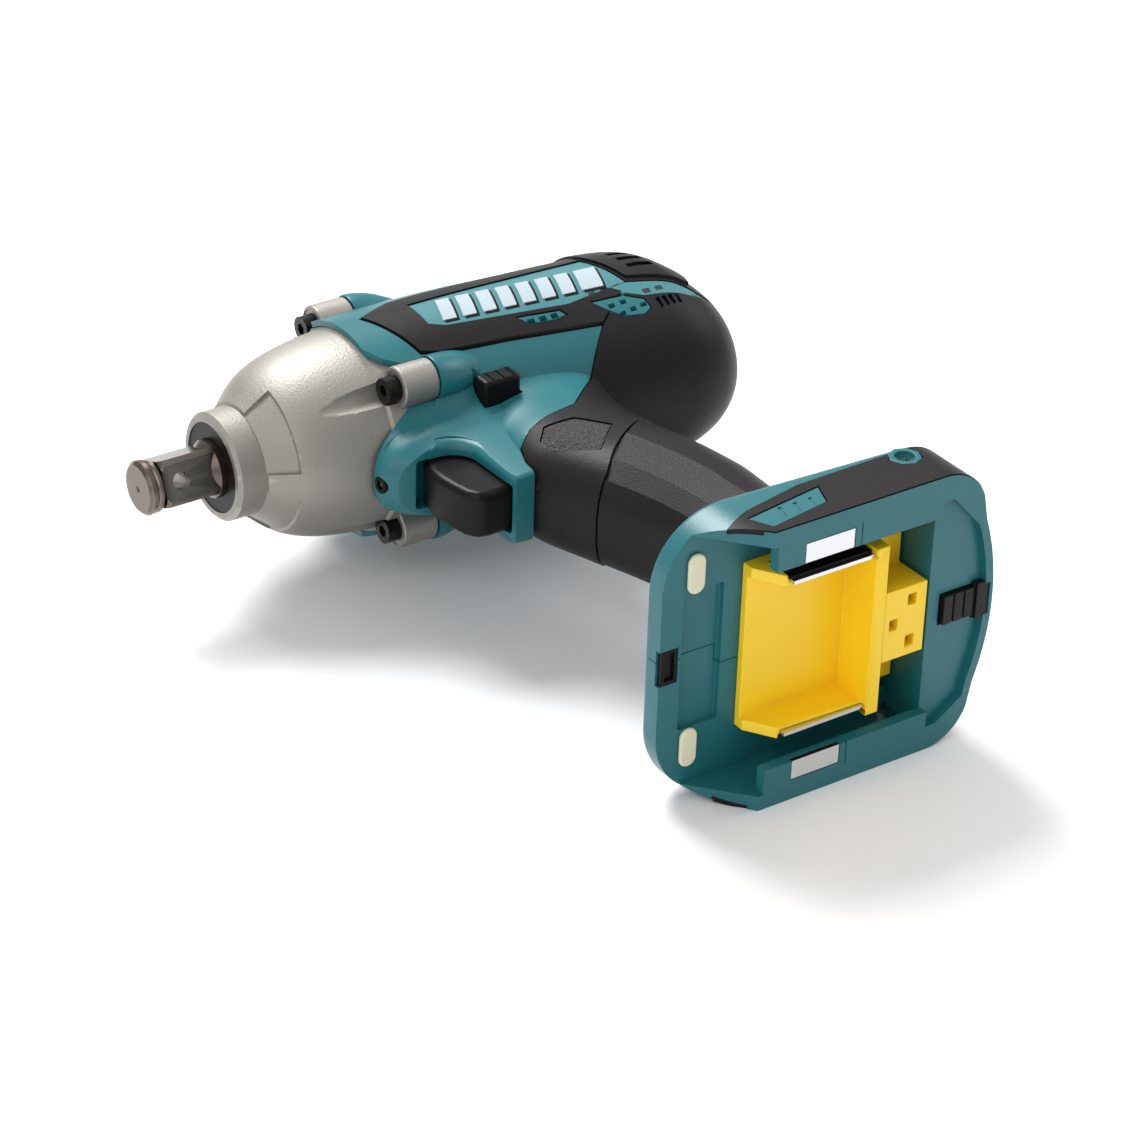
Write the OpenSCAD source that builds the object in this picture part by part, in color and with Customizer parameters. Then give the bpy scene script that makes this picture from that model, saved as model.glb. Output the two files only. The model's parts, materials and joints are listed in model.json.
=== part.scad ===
// Cordless impact wrench, bare tool without its battery, lying on its right side.
// X runs from the square's tip to the motor, Y from the foot to the head's top, Z to the tool's left side.
// The origin is on the output axis at the tip of the square.

/* [Drive] */
// Width of the square drive across its flats
square_w = 12.7; // [12.5:0.1:12.9]
// Turn of the square about the output axis, degrees
square_turn = -22; // [-45:1:45]
// Radius of the anvil shaft in its bushing
anvil_r = 8; // [7.5:0.1:8.4]
// Radius of the hammer
hammer_r = 21.5; // [20:0.1:21.5]
// Axial travel of the hammer against its spring
hammer_travel = 8; // [6:0.5:8]

/* [Gears] */
// Gear module
gear_module = 0.9; // [0.9:0.1:0.9]
// Teeth on the motor pinion
sun_teeth = 10; // [10:2:10]
// Teeth on each planet gear
planet_teeth = 20; // [20:2:20]
// Thinning of each tooth flank, which gives the backlash
flank_gap = 0.07; // [0.05:0.01:0.1]

/* [Head] */
// Radius of the moulded barrel
barrel_r = 29.6; // [29.4:0.1:29.8]
// Radius inside the moulded barrel
cavity_r = 26.5; // [26.4:0.1:26.7]
// Overall length from the square's tip to the motor cover
head_len = 178; // [177:0.5:179]
// Thickness of the elastomer on the head
skin = 1.2; // [1:0.1:1.4]

/* [Controls] */
// Half width of the trigger
trigger_half_w = 6.8; // [6:0.1:7]
// Travel of the trigger
trigger_travel = 6.5; // [5:0.5:6.5]
// Travel of the forward and reverse lever from one side to the other
lever_travel = 7; // [6:0.1:7]

/* [Foot] */
// Half width of the foot
foot_half_w = 39.9; // [39:0.1:40.5]
// Height of the foot's rim below the output axis
foot_low = 161; // [160.5:0.1:162]
// Half width between the rail flanges
rail_gap = 28.5; // [28:0.1:29]

/* [Hidden] */
$fn = 64;

running_gap = 0.03;
big = 400;
teal = [0.10, 0.42, 0.45];
rubber_dark = [0.16, 0.14, 0.14];
cast_grey = [0.74, 0.72, 0.68];
steel_dark = [0.33, 0.31, 0.29];
steel_bright = [0.72, 0.73, 0.75];
brass_tone = [0.78, 0.60, 0.28];
copper = [0.72, 0.42, 0.22];
black_plastic = [0.06, 0.06, 0.06];
yellow = [0.98, 0.78, 0.10];
ivory = [0.90, 0.88, 0.74];

// Head: where each group sits along the output axis
collar_x = 22.2;
case_end_x = 72;
bolt_y = 21;
bolt_z = 21.3;
bolt_face_x = 66.5;
boss_end_x = 77;
boss_r = 5.6;
post_r = 6.2;
anvil_back_x = 46;
hammer_front_x = 50;
hammer_back_x = 66;
carrier_x = 75;
planet_x = 78.8;
planet_w = 6.4;
ring_teeth = sun_teeth + 2 * planet_teeth;
planet_orbit = gear_module * (sun_teeth + planet_teeth) / 2;
pin_r = 2.5;
spindle_r = 6.5;
boss_back_x = 94;
box_end_x = 99;
motor_shaft_r = 2.5;
yoke_x = 112;
yoke_len = 38;
comm_x = 149;
comm_r = 7.5;
rear_bearing_x = 160;

// Controls
lever_x = 95.8;
lever_y = -26.7;
lever_w = 12;
lever_h = 5.4;
lever_reach = 20.5;
trigger_back_x = 90;
switch_x = 99;
plunger_y = -45;
led_y = -31.6;

// Foot
floor_y = -145.5;
foot_wall_y = -140;
foot_top_y = -131;
rear_floor_y = -159;
inner_wall_z = foot_half_w - 4.1;
hook_x = 135.7;
hook_y = -147.1;
m4_minor_r = 1.65;

// ---------- helpers ----------

// Solid of revolution about X from [x, r] points, over angles counted from +Z towards +Y
module turned(profile, from = 0, to = 360)
    rotate([0, 90, 0]) rotate([0, 0, 180 - to])
        rotate_extrude(angle = to - from, $fn = 96) polygon([for (p = profile) [p[1], p[0]]]);

module rod(x0, x1, r) translate([x0, 0, 0]) rotate([0, 90, 0]) cylinder(h = x1 - x0, r = r);

module tube(x0, x1, r_out, r_in) difference() {
    rod(x0, x1, r_out);
    rod(x0 - 1, x1 + 1, r_in);
}

module pin_z(x, y, z0, z1, r) translate([x, y, z0]) cylinder(h = z1 - z0, r = r);

module box(x0, x1, y0, y1, z0, z1) translate([x0, y0, z0]) cube([x1 - x0, y1 - y0, z1 - z0]);

// Slab of a plan outline in X and Z, between two heights
module plan_slab(y0, y1) translate([0, y1, 0]) rotate([90, 0, 0]) linear_extrude(y1 - y0) children();

module side_slab(z0, z1) translate([0, 0, z0]) linear_extrude(z1 - z0) children();

module left_half() intersection() {
    children();
    translate([-big / 2, -big / 2, 0]) cube(big);
}

module right_half() intersection() {
    children();
    translate([-big / 2, -big / 2, -big]) cube(big);
}

module both_sides() {
    children();
    mirror([0, 0, 1]) children();
}

function arc(cx, cy, r, from, to, n) =
    [for (i = [0:n]) let (a = from + (to - from) * i / n) [cx + r * cos(a), cy + r * sin(a)]];

function mirrored(points) =
    concat(points, [for (i = [len(points) - 1:-1:0]) [points[i][0], -points[i][1]]]);

// Involute tooth shapes
pressure = 25;
function inv_deg(a) = tan(a) * 180 / PI - a;
function half_tooth(r, rp, n, gap) =
    let (rb = rp * cos(pressure))
    90 / n - gap / rp * 180 / PI + inv_deg(pressure) - inv_deg(acos(min(1, rb / max(r, rb))));
function gear_outline(n, r_root, r_tip, gap, turn, steps = 3) =
    let (rp = n * gear_module / 2,
         radii = [for (i = [0:steps]) r_root + (r_tip - r_root) * i / steps])
    [for (t = [0:n - 1])
        let (mid = t * 360 / n + turn)
        each concat(
            [for (r = radii) let (a = mid - half_tooth(r, rp, n, gap)) [r * cos(a), r * sin(a)]],
            [for (i = [steps:-1:0])
                let (r = radii[i], a = mid + half_tooth(r, rp, n, gap)) [r * cos(a), r * sin(a)]])];
module spur(n, x0, w, turn) translate([x0, 0, 0]) rotate([0, 90, 0]) linear_extrude(w)
    polygon(gear_outline(n, n * gear_module / 2 - 1.05 * gear_module,
                         n * gear_module / 2 + 0.8 * gear_module, flank_gap, turn));

// Round wire swept along a list of points
function unit(v) = v / norm(v);
function ring_at(c, dir, r, sides) =
    let (u = unit(cross(dir, [0.31, 0.23, 0.92])), v = cross(dir, u))
    [for (j = [0:sides - 1]) let (a = 360 * j / sides) c + r * (cos(a) * u + sin(a) * v)];
module wire(path, r, sides = 8) {
    n = len(path);
    dirs = [for (i = [0:n - 1]) unit(path[min(i + 1, n - 1)] - path[max(i - 1, 0)])];
    points = [for (i = [0:n - 1]) each ring_at(path[i], dirs[i], r, sides)];
    walls = [for (i = [0:n - 2]) for (j = [0:sides - 1])
        let (a = i * sides + j, b = i * sides + (j + 1) % sides)
        each [[a, b, b + sides], [a, b + sides, a + sides]]];
    caps = [[for (j = [sides - 1:-1:0]) j], [for (j = [0:sides - 1]) (n - 1) * sides + j]];
    polyhedron(points, concat(walls, caps));
}

// Coil spring along X, as a turning ring of points round the wire
module coil(x0, x1, coil_r, wire_r, turns, steps = 18, sides = 6) {
    n = round(turns * steps);
    pitch = (x1 - x0 - 2 * wire_r) / turns;
    points = [for (i = [0:n]) let (a = 360 * i / steps) for (j = [0:sides - 1])
        let (b = 360 * j / sides, r = coil_r + wire_r * cos(b))
        [x0 + wire_r + pitch * i / steps + wire_r * sin(b), r * cos(a), r * sin(a)]];
    walls = [for (i = [0:n - 1]) for (j = [0:sides - 1])
        let (a = i * sides + j, b = i * sides + (j + 1) % sides)
        each [[a, b + sides, b], [a, a + sides, b + sides]]];
    caps = [[for (j = [0:sides - 1]) j], [for (j = [sides - 1:-1:0]) n * sides + j]];
    polyhedron(points, concat(walls, caps));
}

// Points of a smooth curve through the given route
function route(p, steps = 5) =
    [for (i = [0:len(p) - 2]) each [for (k = [0:steps - 1])
        let (t = k / steps, a = p[max(i - 1, 0)], b = p[i], c = p[i + 1], d = p[min(i + 2, len(p) - 1)])
        ((2 * b) + (c - a) * t + (2 * a - 5 * b + 4 * c - d) * t * t
            + (3 * b - a - 3 * c + d) * t * t * t) / 2],
     p[len(p) - 1]];

// ---------- handle ----------

// One section of the handle: height, front, rear, half width and corner radius
handle_sections = [
    [-27, 88, 124, 14, 9],
    [-62, 87, 127, 16.5, 10],
    [-108, 100.5, 132.5, 15.5, 10],
    [-132, 90, 144, 26, 12]];

module handle_slab(s, inset) {
    r = s[4] - inset / 2;
    for (x = [s[1] + inset + r, s[2] - inset - r], z = [-1, 1] * (s[3] - inset - r))
        translate([x, s[0], z]) rotate([90, 0, 0]) cylinder(h = 0.2, r = r, $fn = 32);
}

module grip_form(inset) hull() for (i = [0:2]) handle_slab(handle_sections[i], inset);

module flare_form(inset) hull() for (i = [2:3]) handle_slab(handle_sections[i], inset);

// Motor end of the head: it narrows towards the rear and its underside drops, as [x, centre height, radius]
barrel_slices = [[95, 0, 30.8], [150, -4.4, 30.2], [161, -7.2, 28.4], [169.5, -10.4, 23.8],
                 [175, -12, 16.5], [head_len - 0.2, -12.4, 8]];

module motor_end(inset) hull() for (s = barrel_slices)
    translate([s[0] - (s[0] > 100 ? inset : 0), s[1], 0]) rod(0, 0.2, s[2] - inset);

// ---------- moulded housing ----------

cavity_profile = [[62, 0], [62, 28.7], [72.5, 28.7], [72.5, cavity_r], [104, cavity_r], [150, 21.6],
                  [160.5, 18.4], [166, 14], [168.5, 9], [168.5, 0]];

screw_spots = [[104, -72], [109, -107], [76, -141], [141, -140], [152, -26.5], [107, 23.6]];
screw_bore_r = 1.6;
screw_head_z = [-16.1, -15.2, -29, -30, -14.5, -14.5];

function foot_outline(inset) = mirrored(concat(arc(83.9, 19.9, 20 - inset, 180, 90, 9),
    arc(138, 25.9, 14 - inset, 90, 21.8, 6), arc(87.05, 0, 69.6 - inset, 20, 0, 5)));
module foot_prism(y0, y1, inset = 0) plan_slab(y0, y1) polygon(foot_outline(inset));

// The top of the foot climbs to the handle
module foot_roof() hull() {
    foot_prism(foot_wall_y - 0.5, foot_wall_y);
    plan_slab(foot_top_y - 0.3, foot_top_y)
        polygon(mirrored([[82, 17], [84.5, 24], [91, 28], [138, 28], [144, 24], [147, 16]]));
}

// The rim climbs towards the front, so that the battery can enter from there
module foot_ramp() side_slab(-big / 2, big / 2)
    polygon([[40, -180], [40, floor_y], [71.8, floor_y], [85.2, -foot_low], [85.2, -180]]);

// Everything the battery and the terminal block need left open
module foot_hollow() {
    box(60, 137, -foot_low - 5, floor_y, -inner_wall_z, inner_wall_z);
    box(123.3, 136.7, floor_y - 1, -138, -28.2, 28.2);
    box(70.4, 82.6, floor_y - 1, floor_y + 1.6, -19.6, 19.6);
    box(141, 154, -foot_low - 1, -156.5, -4.2, 4.2);
    box(60, 69.6, floor_y - 1, floor_y + 1.6, -5, 5);
    intersection() {
        box(136.9, 160, -foot_low - 1, rear_floor_y, -inner_wall_z, inner_wall_z);
        foot_prism(-foot_low - 1, rear_floor_y, 3.6);
    }
}

module foot_rails() for (s = [-1, 1]) {
    z = s > 0 ? rail_gap : -inner_wall_z - 0.2;
    difference() {
        box(88, 137.2, -160.6, -157.8, z, z + inner_wall_z + 0.2 - rail_gap);
        box(95, 110, -161, -159.4, s > 0 ? rail_gap - 1 : -34, s > 0 ? 34 : -rail_gap + 1);
    }
}

module foot_solid() {
    difference() {
        union() {
            foot_prism(-foot_low, foot_wall_y);
            foot_roof();
        }
        foot_ramp();
        foot_hollow();
        // recess for the rubber bumper on each side
        both_sides() box(88, 146, -155, -144.6, foot_half_w - 1.2, foot_half_w + 1);
        // space for wires above the floor
        box(98, 122, -142, -134, -16, 16);
    }
    foot_rails();
}

// Vents: three slots in the band, a cluster over the brushes, and slots in the cover and its hump
module vents() both_sides() {
    for (i = [0:2]) translate([111.5 + 4.2 * i, -17.2, 12]) cube([2.4, 2.2, 20]);
    for (i = [0:2], j = [0:1]) translate([135.8 + 3.8 * i, -21.8 + 3 * j, 10]) cube([2.2, 1.8, 22]);
    for (i = [0:3]) translate([151.2 + 2 * i, -22.8, 10]) cube([1.2, 2.6, 20]);
    for (i = [0:2]) translate([150, -8.9 + 4.7 * i, 12]) cube([8, 1.9, 22]);
}

module front_lobe() {
    turned([[54.5, 28.7], [54.5, 30], [60, 30.8], [64, 30.8], [64, 28.7]], -148, -32);
    side_slab(-8, 8) polygon([[53.5, -27.5], [53.5, -33.5], [60, -35.4], [72, -34.6], [72, -27.5]]);
}

// Side outline of the strip in front of the handle
strip_outline = [[77, -34], [77, -60.5], [79, -62], [86.9, -62], [91.9, -42], [91.9, -34]];

module housing_full() difference() {
    union() {
        difference() {
            union() {
                rod(63, 97, barrel_r);
                motor_end(skin);
                for (y = [-1, 1] * bolt_y, z = [-1, 1] * bolt_z)
                    translate([0, y, z]) rod(boss_end_x, 92, post_r);
                front_lobe();
                // root of the handle over the trigger arch
                side_slab(-12.5, 12.5)
                    polygon([[60, -20], [60, -31.5], [66, -34], [76, -35.2], [86, -35.2], [116.9, -36.5], [116.9, -22]]);
                grip_form(skin);
                flare_form(skin);
                // strip that the trigger slides through
                side_slab(-10.5, 10.5) polygon(strip_outline);
                foot_solid();
            }
            turned(cavity_profile);
            rod(50, 63, 28.7);
            grip_form(skin + 2.6);
            side_slab(-10, 10) polygon([[91, -20], [91, -50], [122, -50], [126, -20]]);
        }
        // seats of the front and rear motor bearings and of the bearing box
        tube(box_end_x + 0.2, box_end_x + 1.4, cavity_r + 0.5, 20);
        tube(rear_bearing_x + 0.2, 169.5, 9, 6.52);
        for (p = screw_spots) pin_z(p[0], p[1], -13, 13, 3.1);
    }
    // trigger, lever and its pockets
    box(60, 92, -60.6, -35.6, -trigger_half_w - 0.4, trigger_half_w + 0.4);
    box(lever_x - lever_w / 2 - 0.3, lever_x + lever_w / 2 + 0.3, lever_y - lever_h / 2 - 0.3,
        lever_y + lever_h / 2 + 0.3, -big / 2, big / 2);
    // bosses and bolts of the hammer case, screws that close the halves
    for (y = [-1, 1] * bolt_y, z = [-1, 1] * bolt_z) translate([0, y, z]) {
        rod(60, boss_end_x + 0.01, boss_r + 0.05);
        rod(70, 89, 2.05);
    }
    for (i = [0:len(screw_spots) - 1]) let (p = screw_spots[i]) {
        pin_z(p[0], p[1], -big / 2, 11, screw_bore_r);
        pin_z(p[0], p[1], -big / 2, screw_head_z[i] + 2.4, 3.3);
    }
    // hook nuts, light and its lead, way for the wires
    both_sides() pin_z(hook_x, hook_y, 33.2, big / 2, 4.2);
    translate([0, led_y, 0]) rod(50, 59, 2.3);
    box(58, 64, -33.8, -29.6, -4.3, 4.3);
    box(108, 124, -150, -106, -9, 9);
    both_sides() box(106, 154, -24.8, -18, 3.2, 11.2);
    vents();
}

module housing_left() color(teal) left_half() housing_full();
module housing_right() color(teal) right_half() housing_full();

// ---------- elastomer and plates ----------

// Side outlines of the plate with its rear stripe, of the band round it and of the motor cover
plate_outline = [[85, 2.5], [142, 3.5], [146.2, -12.5], [162, -16.6], [166.5, -18.6], [163, -20.2],
                 [148.6, -18.6], [143, -16], [126, -14.6], [89, -10], [85, -8]];
band_outline = [[70.5, 3], [82, 8], [141.7, 8.7], [142, 3.5], [130, -5], [143, -15.8], [144.6, -17.3],
                [132.6, -22.1], [103, -18.4], [83, -16.8], [77.7, -15.4]];
cover_outline = [[117, -40], [117, -32], [124, -28.7], [132.7, -22.2], [144.7, -17.4], [146.4, -12.6],
                 [142.3, 3.5], [141.8, 8.7], [141.8, 40], [190, 40], [190, -40]];

module side_region(outline) both_sides() side_slab(-0.01, 40) polygon(outline);

module grip_full() difference() {
    union() {
        difference() {
            union() {
                grip_form(0);
                flare_form(0);
            }
            grip_form(skin);
            flare_form(skin);
            motor_end(skin);
            side_slab(-30, 30) polygon([[60, -20], [60, -37.3], [117, -37.3], [117, -31], [150, -31], [150, -20]]);
            side_slab(-30, 30) polygon([[60, -20], [60, -64], [87, -64], [87, -62], [92, -42], [92, -20]]);
            box(60, 92, -60.6, -35.6, -trigger_half_w - 0.4, trigger_half_w + 0.4);
            box(60, 160, -140, foot_top_y, -40, 40);
        }
        difference() {
            intersection() {
                motor_end(0);
                side_region(cover_outline);
            }
            motor_end(skin);
            grip_form(skin);
            side_region(plate_outline);
        }
    }
    for (i = [0:len(screw_spots) - 1]) let (p = screw_spots[i])
        pin_z(p[0], p[1], -big / 2, 0, 3.6);
    vents();
}
module grip_left() color(rubber_dark) left_half() grip_full();
module grip_right() color(rubber_dark) right_half() grip_full();

function ring_patch(x0, x1, r0, r1) = [[x0, r0], [x1, r0], [x1, r1], [x0, r1]];

// The head's outer layer, where the bands and plates lie, down to a given depth
module head_layer(depth) difference() {
    union() {
        rod(66, 97, barrel_r + skin - depth);
        motor_end(depth);
    }
    rod(65, 97.1, barrel_r);
    motor_end(skin);
    for (y = [-1, 1] * bolt_y) translate([0, y, bolt_z]) rod(60, 95, post_r + 0.2);
    vents();
}

// Band round the side plate, between it and the lower panel
module band() color(rubber_dark) intersection() {
    head_layer(0);
    side_slab(8, 40) difference() {
        polygon(band_outline);
        polygon(plate_outline);
    }
}
module band_left() band();
module band_right() mirror([0, 0, 1]) band();

module side_plate() color(teal) intersection() {
    head_layer(0.3);
    side_slab(8, 40) polygon(plate_outline);
}
module side_plate_left() side_plate();
module side_plate_right() mirror([0, 0, 1]) side_plate();

module foot_bumper() color(rubber_dark) difference() {
    box(88.1, 145.9, -154.9, -144.7, foot_half_w - 1.15, foot_half_w);
    box(91.9, 113.1, -153.1, -146.9, foot_half_w - 2, foot_half_w + 1);
    pin_z(hook_x, hook_y, 30, 50, 4.4);
    // follows the rounded rear corner of the foot
    difference() {
        box(130, 160, -158, -130, 20, 50);
        foot_prism(-159, -129);
    }
}
module foot_bumper_left() foot_bumper();
module foot_bumper_right() mirror([0, 0, 1]) foot_bumper();

module foot_label() color(teal) box(92, 113, -153, -147, foot_half_w - 1.15, foot_half_w - 0.2);
module foot_label_left() foot_label();
module foot_label_right() mirror([0, 0, 1]) foot_label();

// ---------- hammer case ----------

case_outer = [[collar_x, 14.4], [collar_x + 0.8, 15], [30.2, 15], [30.2, 16.2], [32, 17.4], [34, 19.2],
              [36.2, 20.9], [38.8, 22.6], [41.6, 23.9], [47.5, 25.7], [53.4, 26.8], [57, 27.3], [60, 27.5],
              [61.2, 28.5], [case_end_x, 28.5]];
case_inner = [[case_end_x, 25.6], [57, 25.2], [53.4, 24.6], [47.5, 23.2], [41.6, 21.4], [37, 19.4],
              [36.2, 11], [24.6, 11], [24.6, 12.4], [collar_x, 12.4]];

module hammer_case() color(cast_grey) difference() {
    union() {
        turned(concat(case_outer, case_inner));
        for (y = [-1, 1] * bolt_y, z = [-1, 1] * bolt_z) translate([0, y, z]) rod(bolt_face_x, boss_end_x, boss_r);
    }
    // stepped recesses behind the collar, on the two lower quarters
    for (a = [-78, -168]) turned([[30.2, 15.1], [30.2, 30], [37.6, 30], [37.6, 20.6]], a, a + 66);
    for (y = [-1, 1] * bolt_y, z = [-1, 1] * bolt_z) translate([0, y, z]) {
        rod(40, 90, 2.05);
        rod(50, bolt_face_x, 4.4);
        // scoop that lets the bolt in from the front
        rotate([0, 90, 0]) translate([0, 0, 38]) cylinder(h = 16, r1 = 2.4, r2 = 4.4);
    }
    rod(66, 80, 25.6);
}

module hammer_case_bolts() color(black_plastic)
    for (y = [-1, 1] * bolt_y, z = [-1, 1] * bolt_z) translate([0, y, z]) difference() {
        union() {
            rod(bolt_face_x - 4, bolt_face_x, 3.5);
            rod(bolt_face_x - 0.5, 88, 2);
        }
        translate([bolt_face_x - 5, 0, 0]) rotate([0, 90, 0]) cylinder(h = 3.4, r = 1.73, $fn = 6);
    }

module housing_screws() color(steel_dark)
    for (i = [0:len(screw_spots) - 1]) let (p = screw_spots[i], z = screw_head_z[i]) difference() {
        union() {
            pin_z(p[0], p[1], z, z + 2.4, 3.1);
            pin_z(p[0], p[1], z + 1, 10, screw_bore_r - 0.02);
        }
        pin_z(p[0], p[1], z - 1, z + 1.4, 1);
    }

module nose_seal() color(black_plastic) turned([[22.5, anvil_r + 0.15], [22.5, 12.35], [24.5, 12.35], [24.5, anvil_r + 0.15]]);

module anvil_bushing() color(brass_tone) tube(24.7, 36, 10.98, anvil_r + running_gap);

// ---------- striking train ----------

module anvil() color(steel_dark) rotate([square_turn, 0, 0]) difference() {
    union() {
        turned([[0, 0], [0, 6.5], [0.9, 7.5], [2.2, 7.5], [2.2, 5.6], [4.8, 5.6], [4.8, 0]]);
        intersection() {
            box(4.8, 20.5, -square_w / 2, square_w / 2, -square_w / 2, square_w / 2);
            turned([[4.8, 0], [4.8, 7.4], [5.8, 8.1], [20.5, 8.1], [20.5, 0]]);
        }
        turned([[19, 0], [19, 6.4], [20.8, anvil_r], [36.4, anvil_r], [36.4, 12], [39.5, 12], [39.5, 0]]);
        // the two lugs that the hammer strikes
        intersection() {
            box(37.5, anvil_back_x, -6, 6, -20, 20);
            rod(37.5, anvil_back_x, 18.4);
        }
        rod(39, anvil_back_x, 9.4);
    }
    turned([[-1, 0], [-1, 1.9], [0.9, 0]]);
    translate([9.9, -20, 0]) rotate([-90, 0, 0]) cylinder(h = 40, r = 2.5);
    rod(38, anvil_back_x + 1, 4 + running_gap);
}

module friction_ring() color(steel_dark) rotate([square_turn, 0, 0])
    turned([[2.6, 5.65], [4.4, 5.65], [4.4, 7.0], [3.9, 7.35], [3.1, 7.35], [2.6, 7.0]], 20, 340);

module hammer() color(steel_dark) rotate([square_turn, 0, 0]) difference() {
    union() {
        rod(hammer_front_x, hammer_back_x, hammer_r);
        // the two jaws in front, half a turn apart and a quarter turn from the lugs
        for (a = [62, 242]) turned(ring_patch(42, hammer_front_x + 0.5, 10.6, 20.8), a, a + 56);
    }
    rod(40, 70, spindle_r + 0.05);
    turned(ring_patch(53.4, 70, 9.2, 15.2));
    rod(65.3, 70, 9.3);
    // tracks of the cam balls
    for (s = [-1, 1]) translate([0, 6.8 * s, 0]) rod(48, 58, 2.5);
    for (s = [-1, 1]) translate([58, 6.8 * s, 0]) sphere(r = 2.5);
}

module hammer_spring() color(steel_bright) coil(53.5, 73.4, 12.2, 1.15, 4.5);

module spring_washer() color(steel_bright) tube(73.5, carrier_x - 0.05, 14.8, spindle_r + 0.1);

module spindle() color(steel_dark) difference() {
    union() {
        rod(39.5, 47, 4);
        rod(46.5, carrier_x + 1, spindle_r);
        rod(carrier_x, 78, 18.5);
        rod(86.2, 89, 18.5);
        rod(88, boss_back_x, 8.5);
        for (a = [60, 240]) turned(ring_patch(77.5, 86.5, 11, 18), a, a + 60);
    }
    rod(77, 100, 5.9);
    for (s = [-1, 1]) {
        translate([0, 0, planet_orbit * s]) rod(74, 90, pin_r + 0.01);
        rotate([square_turn, 0, 0]) translate([58, 6.8 * s, 0]) sphere(r = 2.25);
    }
}

module cam_balls() color(steel_bright)
    for (s = [-1, 1]) rotate([square_turn, 0, 0]) translate([58, 6.8 * s, 0]) sphere(r = 2.2);

module planet(side) color(steel_bright) difference() {
    translate([0, 0, planet_orbit * side]) spur(planet_teeth, planet_x, planet_w, 180 / planet_teeth);
    translate([0, 0, planet_orbit * side]) rod(70, 90, pin_r + 0.04);
}
module planet_gear_1() planet(1);
module planet_gear_2() planet(-1);

module planet_pins() color(steel_bright)
    for (s = [-1, 1]) translate([0, 0, planet_orbit * s]) rod(carrier_x + 0.2, 88.8, pin_r);

module ring_gear() color(steel_dark) difference() {
    rod(78, 86, 25.6);
    rp = ring_teeth * gear_module / 2;
    translate([77, 0, 0]) rotate([0, 90, 0]) linear_extrude(10)
        polygon(gear_outline(ring_teeth, rp - 0.8 * gear_module, rp + 1.05 * gear_module,
                             -flank_gap, 180 / ring_teeth, 2));
}

module spindle_bearing() color(steel_bright) tube(89.8, boss_back_x, 12.97, 8.5 + running_gap);

module bearing_box() color(black_plastic) turned([
    [77.6, 25.65], [77.6, 26.4], [88.4, 26.4], [88.4, 22], [box_end_x, 22], [box_end_x, 8.0], [94.6, 8.0],
    [94.6, 9.6], [94.1, 9.6],
    [94.1, 13], [89.7, 13], [89.7, 20], [86.2, 20], [86.2, 25.65]]);

// ---------- motor ----------

module motor_shaft() color(steel_bright) {
    rod(78.4, 167, motor_shaft_r);
    spur(sun_teeth, 78.6, 7.2, 0);
}

module armature_core() color(steel_dark) difference() {
    rod(115, 143, 14.5);
    rod(100, 150, motor_shaft_r + 0.01);
    for (i = [0:11]) rotate([30 * i, 0, 0]) translate([0, 12, 0]) rod(114, 144, 1.7);
}

module armature_windings() color(copper) {
    turned([[111.4, 6], [110.9, 8], [111.4, 11.5], [113, 13], [114.9, 13], [114.9, 6]]);
    turned([[147.1, 6], [147.6, 8], [147.1, 11.5], [145.5, 13], [143.1, 13], [143.1, 6]]);
}

module commutator() color(copper) difference() {
    tube(comm_x, comm_x + 8, comm_r, motor_shaft_r + 0.01);
    for (i = [0:11]) rotate([30 * i, 0, 0]) box(148, 158, -0.25, 0.25, comm_r - 0.6, comm_r + 1);
}

module motor_fan() color(black_plastic) difference() {
    union() {
        rod(108.6, 110, 19.2);
        rod(102, 109, 6);
        for (i = [0:10]) rotate([i * 360 / 11, 0, 0]) box(102.5, 109, -0.6, 0.6, 5, 19);
    }
    rod(100, 112, motor_shaft_r + 0.01);
}

module motor_yoke() color(steel_bright) difference() {
    rod(yoke_x, yoke_x + yoke_len, 20.2);
    rod(yoke_x + 1.2, yoke_x + yoke_len + 1, 18.4);
    rod(yoke_x - 1, yoke_x + 2, 14);
}

module motor_magnets() color(rubber_dark) for (a = [-62, 118])
    turned(ring_patch(114, 145, 15.2, 18.38), a, a + 124);

module motor_bearing_front() color(steel_bright) tube(94.8, 98.8, 7.97, motor_shaft_r + running_gap);
module motor_bearing_rear() color(steel_bright) tube(rear_bearing_x + 0.2, 164.6, 6.5, motor_shaft_r + running_gap);

module brush_holder() color(black_plastic) difference() {
    union() {
        tube(157.6, 159.6, 18.4, 4);
        for (s = [-1, 1]) rotate([s > 0 ? 0 : 180, 0, 0]) box(149.6, 158, -3.6, 3.6, 9, 18.6);
    }
    for (s = [-1, 1]) rotate([s > 0 ? 0 : 180, 0, 0]) box(150.5, 155.6, -2.55, 2.55, 5, 18);
    rod(140, 156.9, 8.6);
}

module carbon_brushes() color(black_plastic) for (s = [-1, 1]) rotate([s > 0 ? 0 : 180, 0, 0])
    box(150.6, 155.5, -2.5, 2.5, comm_r + 0.1, 13.6);

module brush_springs() color(steel_bright) for (s = [-1, 1]) rotate([s > 0 ? 0 : 180, 0, 0])
    translate([153.05, 0, 13.7]) rotate([0, -90, 0]) coil(0, 4.2, 1.7, 0.25, 3.5, 12, 5);

// ---------- controls ----------

trigger_side = concat([[70.5, -36], [68.2, -38.5], [67.2, -43], [67.4, -50], [66.8, -56], [67.6, -59.4],
                       [70, -60.4], [80, -60.2], [trigger_back_x, -59]], [[trigger_back_x, -36]]);
trigger_plan = mirrored(concat(arc(72.2, trigger_half_w - 5.4, 5.4, 180, 90, 6), [[trigger_back_x + 1, trigger_half_w]]));

module trigger() color(black_plastic) difference() {
    intersection() {
        side_slab(-trigger_half_w, trigger_half_w) polygon(trigger_side);
        plan_slab(-61, -35) polygon(trigger_plan);
    }
    box(84, 95, -56, -40, -4.6, 4.6);
}

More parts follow.
